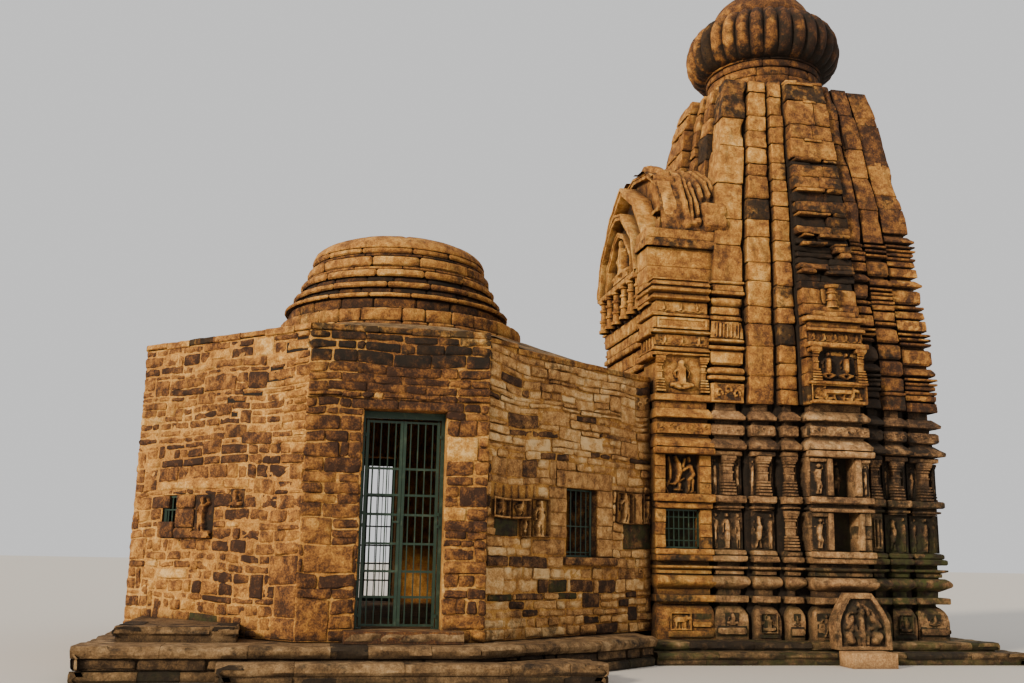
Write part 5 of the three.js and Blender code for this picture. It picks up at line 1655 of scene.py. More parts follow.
def spire_scale(z):
    """How wide the spire is at a height, as a share of its foot."""
    return along_table(SPIRE_CURVE, z) / CORNER if z > WALL_HEAD else 1.0


def stack_rows(rng, low, stack, high, light, stain, black=None):
    """Mouldings in groups from low to high, and plain long blocks above them."""
    p = Profile(rng, light, stain, 0.0, black)
    at = low
    for kind, size in stack:
        if at + size > high:
            break
        shape, *sizes = STACK_SHAPES[kind]
        shape(p, at, at + size, *sizes)
        at += size
    for z0, z1 in runs(courses(at, TOWER_TOP, 0.42, 0.85, rng)):
        p.course(z0, z1, rng.uniform(-0.012, 0.010), bevel=0.012, cell=0.14)
    return p.rows


# The mouldings of a stack: a block, a flat course, a slab, a roof, a cup and a neck, each with how far out
# it stands and its other sizes
STACK_SHAPES = {"b": (Profile.course, 0.008, 0.035, 0.08), "f": (Profile.course, 0.015, 0.012, 0.06),
                "s": (Profile.slab, 0.045, 0.45), "r": (Profile.hood, -0.03, 0.05),
                "c": (Profile.cup, -0.04, 0.05), "n": (Profile.neck, -0.085)}
# The corner's mouldings over the wall, from the foot up: kind and height
FRONT_CORNER = [("f", 0.33), ("n", 0.04), ("s", 0.08), ("c", 0.14), ("n", 0.04), ("b", 0.25), ("s", 0.07),
                ("n", 0.04), ("c", 0.09), ("f", 0.30), ("s", 0.08), ("n", 0.03), ("f", 0.14), ("c", 0.16),
                ("n", 0.04), ("s", 0.08), ("f", 0.12), ("s", 0.06)]
CORNER_STACK = [("f", 0.16), ("n", 0.03), ("f", 0.10), ("s", 0.06), ("n", 0.03), ("f", 0.07), ("s", 0.05),
                ("n", 0.03), ("s", 0.05), ("n", 0.04), ("r", 0.14), ("n", 0.05), ("b", 0.28), ("n", 0.06),
                ("s", 0.05), ("n", 0.035), ("s", 0.05), ("n", 0.035), ("s", 0.05), ("n", 0.05), ("f", 0.19),
                ("n", 0.03), ("f", 0.13), ("n", 0.03), ("s", 0.06), ("n", 0.05), ("b", 0.26), ("n", 0.04),
                ("r", 0.14), ("n", 0.05)]


def spire_place(quarter, plane):
    """A place on a side of the spire, which leans in: across is u at the foot's scale, out is level."""
    way = tower_way(quarter)

    def place(u, v, n):
        k = spire_scale(v)
        x, y = way(u * k, plane * k + n)
        return Vector((x, y, v))

    return place


def pier_stones(heap, place, u0, u1, low, high, rng, rises, light, split=0.2, dark=0.05):
    """A plain pier of unequal blocks with worn edges."""
    for v0, v1 in runs(courses(low, high, *rises, rng)):
        cuts = [u0, u1]
        if rng.random() < split:
            cuts.insert(1, u0 + (u1 - u0) * rng.uniform(0.3, 0.7))
        for a, b in runs(cuts):
            tint = stone_tint(rng, light, 0.14, dark)
            cells = (max(3, round((b - a) / 0.09)), max(3, round((v1 - v0) / 0.09)))
            stone(heap, place, a, b, v0, v1, rng, proud=rng.uniform(-0.016, 0.012), back=-0.30, gap=0.004,
                  bend=rng.uniform(0.010, 0.026), wobble=0.011, cells=cells, tint=tint, tilt=0.012,
                  skew=0.012)


# The broken middle of the central pier, from below: foot, top, how far out on the left and on the right,
# lightness and stain on the left and on the right
BROKEN_COURSES = (
    (6.02, 6.16, -0.10, -0.12, 0.20, 0.80, 0.20, 0.70), (6.16, 6.30, -0.14, -0.14, 0.12, 0.95, 0.12, 0.95),
    (6.30, 6.37, 0.055, 0.035, 0.58, 0.10, 0.50, 0.30), (6.37, 6.47, 0.0, -0.02, 0.46, 0.25, 0.40, 0.35),
    (6.47, 6.60, -0.17, -0.12, 0.08, 0.95, 0.10, 0.90), (6.60, 6.70, -0.18, 0.05, 0.08, 0.95, 0.56, 0.10),
    (6.70, 6.80, -0.18, 0.02, 0.08, 0.95, 0.44, 0.30), (6.80, 6.85, 0.06, 0.045, 0.60, 0.08, 0.56, 0.12),
    (6.85, 6.95, -0.15, -0.15, 0.08, 0.95, 0.08, 0.95), (6.95, 7.01, 0.045, 0.06, 0.58, 0.10, 0.54, 0.15),
    (7.01, 7.15, 0.0, 0.01, 0.50, 0.20, 0.42, 0.30), (7.15, 7.35, -0.13, -0.05, 0.10, 0.90, 0.30, 0.60),
    (7.35, 7.41, 0.05, 0.03, 0.56, 0.12, 0.46, 0.30), (7.41, 7.62, 0.0, -0.02, 0.36, 0.45, 0.32, 0.55),
    (7.62, 7.80, -0.14, -0.11, 0.08, 0.95, 0.12, 0.85), (7.80, 7.87, 0.06, 0.04, 0.62, 0.05, 0.56, 0.15),
    (7.87, 8.10, 0.0, 0.0, 0.56, 0.10, 0.46, 0.30), (8.10, 8.32, -0.01, -0.02, 0.52, 0.15, 0.40, 0.40),
    (8.32, 8.40, -0.06, -0.07, 0.14, 0.85, 0.14, 0.85), (8.40, 8.46, 0.045, 0.03, 0.58, 0.10, 0.50, 0.20))


def middle_face(heap, quarter, low, rng):
    """The spire's central pier: blocks, its broken middle, and long blocks with thin ledges above."""
    half, plane = MIDDLE_PIER[1:]
    place = spire_place(quarter, plane)
    first_foot, at, top_of_all = BROKEN_COURSES[0][0], BROKEN_COURSES[-1][1], TOWER_TOP - 0.01
    if low < first_foot:
        pier_stones(heap, place, -half, half, low, first_foot, rng, (0.16, 0.36), 0.46, split=0.6, dark=0.12)
    for v0, v1, out_left, out_right, *shades in BROKEN_COURSES:
        if v0 < low:
            continue
        cut = rng.uniform(-0.12, 0.2)
        for a, b, out, (light, stain) in ((-half, cut, out_left, shades[:2]),
                                          (cut, half, out_right, shades[2:])):
            edge = rng.uniform(-0.03, 0.03)
            if out > 0.02:
                a, b = a + rng.uniform(0.0, 0.10), b - rng.uniform(0.0, 0.12)
            stone(heap, place, a, b + (edge if b == half else 0.0), v0, v1, rng, proud=out * 0.62, back=-0.30,
                  gap=0.003, bend=0.018, wobble=0.014, tilt=0.02, skew=0.010,
                  cells=(max(3, round((b - a) / 0.08)), max(2, round((v1 - v0) / 0.07))),
                  tint=(0.10 + 0.62 * light, 0.12 + 0.62 * stain, 0.0))
    while at < TOWER_TOP - 0.35:
        top = min(top_of_all, at + rng.uniform(0.24, 0.50))
        pier_stones(heap, place, -half, half, at, top, rng, (0.24, 0.50), 0.50, split=0.4, dark=0.10)
        if rng.random() < 0.6:
            u0, u1 = sorted((rng.uniform(-half, -0.1), rng.uniform(0.1, half)))
            ledge(heap, place, u0, u1, top - 0.05, top, rng.uniform(0.03, 0.05), rng, (0.56, 0.1, 0.0))
        at = top
    if at < top_of_all:
        pier_stones(heap, place, -half, half, at, top_of_all, rng, (0.24, 0.50), 0.54)


def spire_side(heap, quarter, rng):
    """One side of the spire: seven piers that lean in together. The west side shows over the gable only."""
    first, west = quarter == 0, quarter == 3
    low = 7.0 if west else WALL_HEAD - 0.005
    for (inner_edge, outer_edge, plane), rises, light in (((0.957, 1.408, FIRST_PIER[2]), (0.22, 0.52), 0.57),
                                                          ((0.590, 0.902, SECOND_PIER[2]), (0.20, 0.42),
                                                           0.55)):
        place = spire_place(quarter, plane)
        pier_stones(heap, place, -outer_edge, -inner_edge, low, TOWER_TOP - 0.01, rng, rises, light,
                    split=0.12)
        if west:
            pier_stones(heap, place, inner_edge, outer_edge, low, TOWER_TOP - 0.01, rng, rises, light - 0.10)
    middle_face(heap, quarter, low, rng)
    if west:
        return
    tall = CORNER_STACK * 4
    blocks = (("f", 0.24), ("s", 0.06), *(("b", 0.26), ("n", 0.03)) * 4, ("s", 0.06), ("n", 0.03))
    inner_edge, outer_edge, plane = CORNER_PIER
    sides = [(corner_section(-outer_edge, -inner_edge, plane, 0.28),
              stack_rows(rng, low, *((FRONT_CORNER, 6.2) if first else (tall, 7.3)), 0.58, 0.08))]
    for pier, stack, high, light, stain, black in (
            (SECOND_PIER, tall, 7.0, 0.42, 0.25, (3.2, 5.1, 0.95) if first else None),
            (FIRST_PIER, (*blocks, *tall), 7.2, 0.46, 0.16, None),
                                                   (CORNER_PIER, tall, 7.35, 0.44, 0.16, None)):
        sides.append((section(*pier, 0.28, 0.6), stack_rows(rng, low, stack, high, light, stain, black)))
    for columns, rows in sides:
        moulded(heap, tower_way(quarter), columns, rows, spire_scale, wear=0.010, chip=0.06,
                seed=quarter + 20)
    place = spire_place(quarter, plane)
    panel(heap, place, -1.98, -1.52, 4.09, 4.36, scroll(3), 0.045, 0.018, (0.56, 0.08, 0))
    if first:
        panel(heap, place, -1.98, -1.52, 5.14, 5.40, pillarettes(7), 0.045, 0.018, (0.58, 0.08, 0))
    shrine_front(heap, quarter, rng)


def ledge(heap, place, u0, u1, v0, v1, front, rng, tint):
    """A worn slab that stands out of a face."""
    cells = (max(3, round((u1 - u0) / 0.08)), 2)
    stone(heap, place, u0, u1, v0, v1, rng, proud=front, back=-0.04, gap=0.001, bend=0.014, wobble=0.006,
          cells=cells, tint=tint)


def shrine_front(heap, quarter, rng):
    """The small shrine front at the foot of the spire's central pier, with its eaves and bulb finial."""
    place = spire_place(quarter, MIDDLE_PIER[2])
    tint = (0.50, 0.12, 0.0)
    panel(heap, place, -0.50, 0.48, 4.08, 4.36, [*pair_row(rng, 2), *beast()], 0.105, 0.035, tint,
          frame_wide=0.02, ground=0.6)
    ledge(heap, place, -0.50, 0.48, 4.05, 4.09, 0.11, rng, tint)
    ledge(heap, place, -0.52, 0.50, 4.36, 4.41, 0.13, rng, tint)
    panel(heap, place, -0.34, 0.32, 4.41, 4.96, pair(rng), 0.13, 0.012, (0.40, 0.35, 0.0), relief=1.2)
    for u in (-0.41, 0.39):
        banded_pillar(heap, place, u, 0.14, 4.41, 4.96, 0.0, 0.11, rng, 0.54)
        ledge(heap, place, u - 0.10, u + 0.10, 4.90, 4.97, 0.15, rng, tint)
    ledge(heap, place, -0.55, 0.53, 4.97, 5.05, 0.16, rng, tint)
    panel(heap, place, -0.49, 0.47, 5.05, 5.25, pair_row(rng, 5), 0.12, 0.04, tint, ground=0.6)
    for u0, u1, v0, v1, out, shade_of in (
            (-0.53, 0.51, 5.25, 5.31, 0.14, tint), (-0.48, 0.46, 5.31, 5.42, 0.08, (0.42, 0.2, 0.0)),
            (-0.55, 0.53, 5.42, 5.50, 0.17, tint), (-0.40, 0.38, 5.50, 5.60, 0.11, tint),
            (-0.20, 0.18, 5.60, 5.68, 0.09, tint)):
        ledge(heap, place, u0, u1, v0, v1, out, rng, shade_of)
    if quarter == 0:
        foot = place(-0.01, 5.67, 0.04)
        column_at(heap, foot.x, foot.y, 5.67, 6.06, 0.085, rng)


def tower():
    """The tower's wall on three sides and its spire on all four."""
    names = ("front", "east", "back", "west")
    for quarter, name in enumerate(names[:3]):
        heap = Heap()
        wall_side(heap, quarter, random.Random(300 + quarter))
        if quarter == 0:
            wall_core(heap)
        heap.build(f"{name}_tower_carving", aged, "carved_stone",
                   instead_of=(f"{name}_tower_base", f"{name}_tower_wall"))
    for quarter, name in enumerate(names):
        heap = Heap()
        spire_side(heap, quarter, random.Random(500 + quarter))
        nodes = ()
        if quarter == 0:
            spire_core(heap)
            nodes = ("spire_lower", "spire_middle", "spire_upper")
        heap.build(f"{name}_spire_courses", carved, "carved_stone", instead_of=nodes)


def wall_core(heap):
    """The wall behind the carving, near black as painted shade in the slots between the piers, and the cell
    inside it, darker as painted shade.
    """
    corner, first, second = 1.80, 1.93, 2.03
    ring = all_round([(-corner, corner), (-1.44, corner), (-1.44, first), (-0.92, first), (-0.92, second)])
    heights = (TOWER_FOOT, WALL_HEAD)
    rings = [[(max(ANTE_END + 0.001, x), y, z) for x, y in ring] for z in heights]
    heap.grid(np.array(rings), SHADE_CORE_TINT, wrap=True)
    west, east = TOWER_X - CELL_HALF, TOWER_X + CELL_HALF
    room = ((west, -CELL_HALF), (west, CELL_HALF), (east, CELL_HALF), (east, -CELL_HALF))
    heap.grid(np.array([[(x, y, z) for x, y in room] for z in heights]), (0.35, 0.2, 0.0), wrap=True)


def spire_core(heap):
    """The core behind the spire's piers, near black as painted shade, in the tower's stepped plan, and the
    lid over it.
    """
    grow = -0.20
    rings = []
    for z in (WALL_HEAD, 5.0, 6.3, 7.55, 8.7, 9.5, TOWER_TOP):
        k = spire_scale(z)
        at = CORNER * k + grow
        side = [(-at, at)]
        for reach, plane in PLANES:
            side.append((-reach * k, at))
            at = plane * k + grow
            side.append((-reach * k, at))
        rings.append([(*spot, z) for spot in all_round(side)])
    heap.grid(np.array(rings), SHADE_CORE_TINT, wrap=True)
    top = along_table(SPIRE_CURVE, TOWER_TOP) - 0.05
    lid = [[(TOWER_X + x, y, TOWER_TOP) for x in (-top, top)] for y in (-top, top)]
    heap.grid(np.array(lid), (0.4, 0.3, 0.0))


# The antechamber and its gabled front


# Two figures in long curved strokes
DANCERS = ((0.16, 0.90, 0.20, 0.70, 0.09), (0.20, 0.70, 0.20, 0.40, 0.10), (0.20, 0.40, 0.12, 0.22, 0.08),
           (0.36, 0.92, 0.46, 0.76, 0.10), (0.46, 0.76, 0.50, 0.56, 0.11), (0.50, 0.56, 0.42, 0.34, 0.10),
           (0.42, 0.34, 0.34, 0.26, 0.08), (0.08, 0.28, 0.36, 0.26, 0.06), (0.36, 0.26, 0.60, 0.40, 0.06),
           (0.48, 0.26, 0.46, 0.12, 0.09), (0.34, 0.12, 0.54, 0.12, 0.06), (0.62, 0.88, 0.58, 0.70, 0.08),
           (0.74, 0.92, 0.76, 0.84, 0.09), (0.58, 0.60, 0.78, 0.72, 0.08), (0.80, 0.70, 0.88, 0.50, 0.10),
           (0.88, 0.50, 0.74, 0.36, 0.10), (0.76, 0.36, 0.72, 0.10, 0.08), (0.86, 0.38, 0.84, 0.10, 0.08),
           (0.70, 0.07, 0.92, 0.07, 0.06), (0.10, 0.14, 0.14, 0.04, 0.07))


def way_of(place):
    """The plan of a place: it turns (across, out) into (x, y)."""
    return lambda u, w: place(u, 0, w)[:2]


def antechamber(heap, back, rng):
    """The moulded side wall with a grilled niche below and a carved panel above."""
    place, length = hall_place(ANTE_FROM, ANTE_TO, back)
    rows = wall_profile(rng, 0.55, 0.12, 0.2)
    columns = spread([(0.0, -0.3, -0.35, 0.0), (0.0, 0.0, -0.35, 1.0), (length, 0.0, 0.35, 1.0),
                      (length, -0.3, 0.35, 0.0)])
    round_the_niches(heap, way_of(place), columns, rows, -0.28, 31)
    left, right = (0.19, length - 0.17) if back else (0.17, length - 0.19)
    for k, (v0, v1) in enumerate(NICHE_LEVELS):
        for a, b in ((0.0, left), (right, length)):
            jamb = Profile(rng, 0.60, 0.10)
            for low, high in runs(levels_with(v0, v1, 0.22, rng)):
                jamb.course(low, high, -0.05 + rng.uniform(-0.008, 0.008), bevel=0.008, cell=0.08)
            pier = spread([(a, -0.3, 0.0, 0.0), (a, 0.0, 0.0, 1.0), (b, 0.0, 0.0, 1.0), (b, -0.3, 0.0, 0.0)],
                          0.07)
            moulded(heap, way_of(place), pier, jamb.rows, seed=33)
        if k == 1:
            panel(heap, place, left - 0.01, right + 0.01, v0 - 0.01, v1 + 0.01, DANCERS, -0.06, -0.20,
                  (0.50, 0.15, 0))
        else:
            # the back of the grilled niche, near black as painted shade
            panel(heap, place, left - 0.05, right + 0.05, v0 - 0.05, v1 + 0.05, [], -0.36, -0.37,
                  (0.05, 0.8, 0.3))
    panel(heap, place, 0.20, length * 0.58, 0.45, 0.72, beast(), 0.045, -0.004, (0.50, 0.1, 0.1),
          frame_wide=0.03)
    panel(heap, place, length * 0.60, length - 0.06, 0.45, 0.70, [(0.1, 0.35, 0.9, 0.35, 0.28)], 0.045, 0.004,
          (0.50, 0.1, 0.3), ground=0.6)
    ledge(heap, place, 0.16, length - 0.03, 0.34, 0.44, 0.045, rng, (0.48, 0.15, 0.2))
    panel(heap, place, 0.02, length - 0.02, 3.515, 3.685, scroll(6), 0.05, 0.016, (0.50, 0.1, 0), ground=0.35)
    # thick worn slabs over and under the openings
    for v0, v1, out in ((3.188, 3.285, 0.095), (2.425, 2.550, 0.085), (2.325, 2.42, 0.01),
                        (1.60, 1.69, 0.03)):
        ledge(heap, place, -0.01 - out * 0.3, length + out * 0.3, v0, v1, out, rng, (0.54, 0.10, 0.0))


def gable_pier(heap, back, rng):
    """The moulded pier over the antechamber's side wall, up to the plain block."""
    half = 1.99
    place, length = hall_place((4.65 if back else ANTE_X, -half), (5.24, -half), back)
    near, far = ((-0.34, -0.3), (-0.75, 1.0)) if back else ((-0.75, -1.0), (-0.34, 0.3))
    columns = spread([(0.0, near[0], near[1], 0.0), (0.0, 0.0, near[1], 1.0), (length, 0.0, far[1], 1.0),
                      (length, far[0], far[1], 0.0)])
    p = Profile(rng, 0.60, 0.08)
    p.course(4.05, 4.17, 0.0, cell=0.06)
    p.add([(4.175, -0.02), (4.19, -0.07), (4.5, -0.07), (4.79, -0.07)])
    p.slab(4.80, 4.85, 0.0)
    p.hood(4.86, 4.95, -0.03, 0.03)
    p.course(4.955, 5.15, -0.015, 0.02, 0.06)
    p.hood(5.16, 5.24, -0.02, 0.05)
    p.course(5.245, 5.44, 0.01, 0.01, 0.06)
    p.slab(5.445, 5.50, 0.03)
    p.course(5.51, 5.73, -0.04, 0.02, 0.06)
    p.hood(5.735, 5.85, -0.02, 0.05)
    p.slab(5.86, 5.93, 0.075)
    p.neck(5.932, 5.96, 0.02)
    p.hood(5.96, 6.06, 0.0, 0.06)
    p.slab(6.06, 6.10, 0.03)
    moulded(heap, way_of(place), columns, p.rows, seed=51)
    lid = np.array([[place(u, 6.09, w) for u in (0.02, length - 0.02)] for w in (-0.03, -0.28)])
    heap.grid(lid, (0.55, 0.15, 0.0))
    # the seated figure between two pilasters, and the friezes above it
    low, high = 4.20, 4.78
    for u in (0.10, length - 0.10):
        banded_pillar(heap, place, u, 0.13, low, high, -0.075, 0.0, rng, 0.62)
    panel(heap, place, length * 0.24, length * 0.76, low, high, figure(rng, 0, True, 0.19), 0.03, -0.075,
          (0.58, 0.08, 0), relief=1.25)
    panel(heap, place, 0.03, length - 0.03, 4.965, 5.14, pair_row(rng, 3), 0.045, -0.01, (0.54, 0.12, 0),
          ground=0.6)
    panel(heap, place, 0.04, length - 0.04, 5.25, 5.43, pillarettes(5), 0.030, -0.01, (0.56, 0.06, 0),
          frame_wide=0.05)
    panel(heap, place, 0.04, length - 0.04, 5.52, 5.72, pair_row(rng, 3), 0.03, -0.045, (0.54, 0.1, 0),
          ground=0.6)


def pair_row(rng, count):
    """A frieze of seated figures in a row."""
    return [((u0 + k) / count, v0, (u1 + k) / count, v1, wide * 0.9) for k in range(count)
            for u0, v0, u1, v1, wide in figure(rng, rng.choice((-1, 0, 1)), True)]


def gable():
    """The stepped and pointed front over the antechamber."""
    rng = random.Random(61)
    low, high = Heap(), Heap()
    gable_pier(low, False, rng)
    gable_pier(low, True, rng)
    front_of_gable_base(low, rng)
    low.build("gable_base_carving", carved, "carved_stone", instead_of=("gable_base",))
    gable_block(high, rng)
    high.build("gable_carving", carved, "carved_stone", instead_of=("gable_block",))


def west_place(x):
    """A place on a plane that faces west: across is -y."""
    return lambda u, v, n: Vector((x - n, -u, v))


def front_of_gable_base(heap, rng):
    """The middle of the gable's foot, which faces west over the hall's roof."""
    place = west_place(4.43)
    for low, high, out in ((4.05, 4.30, 0.0), (4.31, 4.42, 0.04), (4.43, 4.72, -0.02), (4.73, 4.85, 0.05),
                           (4.86, 5.12, 0.0), (5.13, 5.24, 0.07), (5.25, 5.45, 0.02), (5.46, 5.72, 0.05)):
        for u0, u1 in runs(edges(-1.24, 1.24, 0.45, rng, 0.3)):
            stone(heap, place, u0, u1, low, high, rng, proud=out, back=-0.3, bend=0.02, wobble=0.006,
                  cells=(5, 3), tint=stone_tint(rng, 0.55, 0.1, 0.05))
    # the pier at the corner: upright ribs under thin slabs, as on the side
    place = west_place(ANTE_X)
    panel(heap, place, 1.26, 1.97, 4.86, 5.12, pillarettes(5), 0.05, -0.02, (0.60, 0.05, 0))
    panel(heap, place, 1.26, 1.97, 5.25, 5.45, pillarettes(7), 0.05, -0.01, (0.60, 0.05, 0))
    for z0, z1, out in ((4.75, 4.85, 0.07), (5.13, 5.23, 0.09), (5.46, 5.52, 0.05)):
        slab_stone(heap, place, 1.22, 1.99, z0, z1, out, -0.2, rng, (0.58, 0.1, 0))


def block_box(heap, x0, x1, y0, y1, z0, z1, tint, wear=0.008, cell=0.12):
    """A plain block, worn at its edges: its faces to the west, the front, the back and its top."""
    path = []
    for (ax, ay), (bx, by) in runs(((x1, y1), (x0, y1), (x0, y0), (x1, y0))):
        count = max(1, round(math.hypot(bx - ax, by - ay) / cell))
        path += [(ax + (bx - ax) * i / count, ay + (by - ay) * i / count, i == 0) for i in range(count)]
    path.append((x1, y0, False))
    count = max(2, round((z1 - z0) / cell))
    heights = [z0, *[z0 + 0.012 + (z1 - z0 - 0.03) * i / count for i in range(count)], z1 - 0.012, z1]
    points = np.empty((len(heights) + 1, len(path), 3))
    for j, z in enumerate(heights):
        shrink = 0.01 if j in (0, len(heights) - 1) else 0.0
        for i, (x, y, sharp) in enumerate(path):
            here = Vector((x, y, z))
            aside = -1 if y <= y0 + 1e-6 else (1 if y >= y1 - 1e-6 else 0)
            off = wear * rough(here, 4.5) + wear * 0.6 * rough(here, 15) - shrink
            if sharp:
                off -= 0.07 * max(0.0, rough(here, 2.4, 7) - 0.1)
            points[j, i] = here + Vector((-1 if x <= x0 + 1e-6 else 0, aside, 0)) * off
    points[-1] = points[-2]
    points[-1, :, 0] = np.clip(points[-2, :, 0], (x0 + x1) / 2, None)
    points[-1, :, 1] = (y0 + y1) / 2
    heap.grid(points[:, ::-1], tint)


def gable_block(heap, rng):
    """The cracked plain block, its cornice, the layered pointed arches and the carved roof side."""
    # plain block on the front side, and its like further back on the far side
    half, inner_edge, x1 = 1.77, 1.20, 5.66
    for x0, y0, y1, light in ((4.25, -half, -inner_edge, 0.60), (4.65, inner_edge, half, 0.5)):
        block_box(heap, x0, x1, y0, y1, 6.09, 6.36, (light, 0.05, 0), cell=0.10)
        block_box(heap, x0 + 0.004, x1, y0 + 0.003, y1, 6.362, 6.70, (light + 0.04, 0.03, 0), cell=0.10)
        block_box(heap, x0 + 0.01, x1, y0 + 0.01, y1, 5.7, 6.1, (light, 0.1, 0), cell=0.12)
    # cornice over the block
    for z0, z1, grow, light, stain in ((6.70, 6.84, 0.045, 0.42, 0.45), (6.845, 7.02, 0.01, 0.50, 0.2)):
        block_box(heap, 4.21 - grow + 0.03, 5.45, -1.85 - grow + 0.04, -1.20, z0, z1, (light, stain, 0),
                  cell=0.08)
    # the body behind the arches: its two front layers are dark and stained as painted shade between the
    # arches
    for half, x0, x1, tint in (
            (((1.16, 5.72), (1.16, 6.42), (0.96, 7.12), (0.29, 7.72), (0.0, 7.77)), 4.45, 4.60,
             (0.24, 0.60, 0)),
            (((1.50, 6.42), (1.50, 6.62), (1.23, 7.20), (0.75, 7.86), (0.0, 8.32)), 4.57, 4.72,
             (0.26, 0.55, 0)),
            (((1.77, 6.70), (1.76, 7.07), (1.69, 7.50), (1.40, 7.98), (0.80, 8.38), (0.0, 8.52)), 4.67, 5.70,
             (0.50, 0.2, 0))):
        outline(heap, half, x0, x1, tint)
    # pointed arches that stand out from the west face, one inside the other
    for half, x, wide, out, light in (
            (((1.20, 6.45), (1.00, 7.14), (0.33, 7.72), (0.0, 7.80)), 4.36, 0.12, 0.16, 0.62),
            (((1.52, 6.45), (1.50, 6.66), (1.24, 7.24), (0.76, 7.88), (0.0, 8.34)), 4.50, 0.14, 0.20, 0.62),
            (((0.80, 6.45), (0.74, 6.9), (0.30, 7.34), (0.0, 7.46)), 4.38, 0.09, 0.12, 0.58),
            (((1.78, 6.9), (1.72, 7.5), (1.42, 8.0), (0.81, 8.40), (0.0, 8.54)), 4.70, 0.12, 0.14, 0.60)):
        arch_band(heap, half, x, wide, out, light)
    place = west_place(4.45)
    panel(heap, place, -0.7, 0.7, 6.45, 7.40, [*figure(rng, 1, True), (0.2, 0.1, 0.8, 0.1, 0.1)], 0.16, 0.0,
          (0.54, 0.15, 0), cell=0.03, relief=1.2)
    # pillars and figures below the arches
    for y in (-1.08, -0.66, -0.24, 0.24, 0.66, 1.08):
        column_at(heap, 4.33, y, 5.75, 6.40, 0.085, rng)
    for y in (-0.87, -0.45, 0.0, 0.45, 0.87):
        panel(heap, place, -y - 0.15, -y + 0.15, 5.76, 6.36, figure(rng, rng.choice((-1, 0, 1))), 0.15, 0.0,
              (0.54, 0.1, 0), relief=1.5)
    slab_stone(heap, west_place(4.36), -1.22, 1.22, 6.36, 6.46, 0.12, -0.1, rng, (0.58, 0.1, 0))
    roof_side(heap, rng)


def outline(heap, half, x0, x1, tint):
    """A solid slab over a pointed outline, given by its half from the foot to the tip."""
    whole = [*half, *((-y, z) for y, z in reversed(half[:-1]))]
    rim = [[(x, y, z) for y, z in whole] for x in (x1, x0)]
    face = [[(x0, y, half[0][1]) for y, z in whole], rim[1]]
    heap.grid(np.array(rim), tint)
    heap.grid(np.array(face), tint)


def arch_band(heap, half, x, wide, out, light):
    """A raised band along a pointed arch, standing out to the west."""
    whole = [*((-y, z) for y, z in half), *reversed(half[:-1])]
    fine = []
    for (ay, az), (by, bz) in runs(whole):
        count = max(1, round(math.hypot(by - ay, bz - az) / 0.09))
        fine += [(ay + (by - ay) * i / count, az + (bz - az) * i / count) for i in range(count)]
    fine.append(whole[-1])
    profile = ((0.0, -0.7), (0.0, 0.90), (0.06, 1.0), (0.40, 1.0), (0.44, 0.88), (0.94, 0.88), (1.0, 0.78),
               (1.0, -0.7))
    middle = Vector((0.0, 6.9))
    points = np.empty((len(profile), len(fine), 3))
    for i, spot in enumerate(fine):
        way = (Vector(fine[min(len(fine) - 1, i + 1)]) - Vector(fine[max(0, i - 1)])).normalized()
        across = Vector((way.y, -way.x))
        if across.dot(middle - Vector(spot)) < 0:
            across = -across
        for j, (t, n) in enumerate(profile):
            y, z = Vector(spot) + across * wide * t
            here = Vector((x, y, z))
            points[j, i] = (x - out * n + 0.015 * rough(here, 5) + 0.008 * rough(here, 15), y, z)
    heap.grid(points, (light, 0.1, 0))


def column_at(heap, x, y, z0, z1, radius, rng):
    """A small round pillar with rings."""
    shape = ((0.0, 1.3), (0.08, 1.3), (0.09, 1.0), (0.30, 0.9), (0.32, 1.15), (0.38, 1.15), (0.40, 0.85),
             (0.62, 0.8), (0.64, 1.1), (0.70, 1.1), (0.72, 0.8), (0.86, 0.85), (0.88, 1.25), (1.0, 1.45),
             (1.0, 0.05))
    tint = stone_tint(rng, 0.58, 0.08, 0)

    def ringed(here, j, i):
        share, wide = shape[j]
        out = radius * wide * (1 + 0.06 * rough((x * 3 + i, y * 5, z0 + share * 4), 1.0))
        return out, z0 + (z1 - z0) * share, tint

    round_shell(heap, x, shape, 12, ringed, y)


def roof_side(heap, rng):
    """The sloping sides over the cornice, with a worn crouching beast and broken blocks."""
    start, length = 4.50, 1.15
    for turn in (1, -1):
        def place(u, v, n, turn=turn):
            across = u if turn > 0 else length - u
            y, z, tilt = (along_table(table, v) for table in ROOF_SLOPE)
            return Vector((start + across, -turn * (y + n * math.cos(tilt)), z + n * math.sin(tilt)))

        draped_panel(heap, place, length, ROOF_BEAST, 0.10, (0.52, 0.14, 0))
    for x, y, z, (deep, wide, high) in ((4.64, -1.60, 7.03, (0.32, 0.26, 0.22)),
                                        (5.36, -1.66, 7.03, (0.38, 0.22, 0.20)),
                                        (4.60, -1.48, 7.38, (0.26, 0.34, 0.06)),
                                        (5.40, -1.10, 7.78, (0.30, 0.26, 0.18)),
                                        (5.30, -0.66, 8.14, (0.34, 0.30, 0.18))):
        block_box(heap, x - deep / 2, x + deep / 2, y - wide / 2, y + wide / 2, z, z + high,
                  (rng.uniform(0.44, 0.62), rng.uniform(0.05, 0.3), 0), wear=0.022, cell=0.06)


# The half of the ridge's outline up the slope, and how far its face leans back, each by the share of the way
ROOF_SLOPE = (((0.0, 1.80), (0.25, 1.69), (0.5, 1.40), (0.75, 0.80), (1.0, 0.2)),
              ((0.0, 7.02), (0.25, 7.50), (0.5, 7.98), (0.75, 8.38), (1.0, 8.50)),
              ((0.0, 0.15), (0.25, 0.4), (0.5, 0.85), (0.75, 1.2), (1.0, 1.4)))
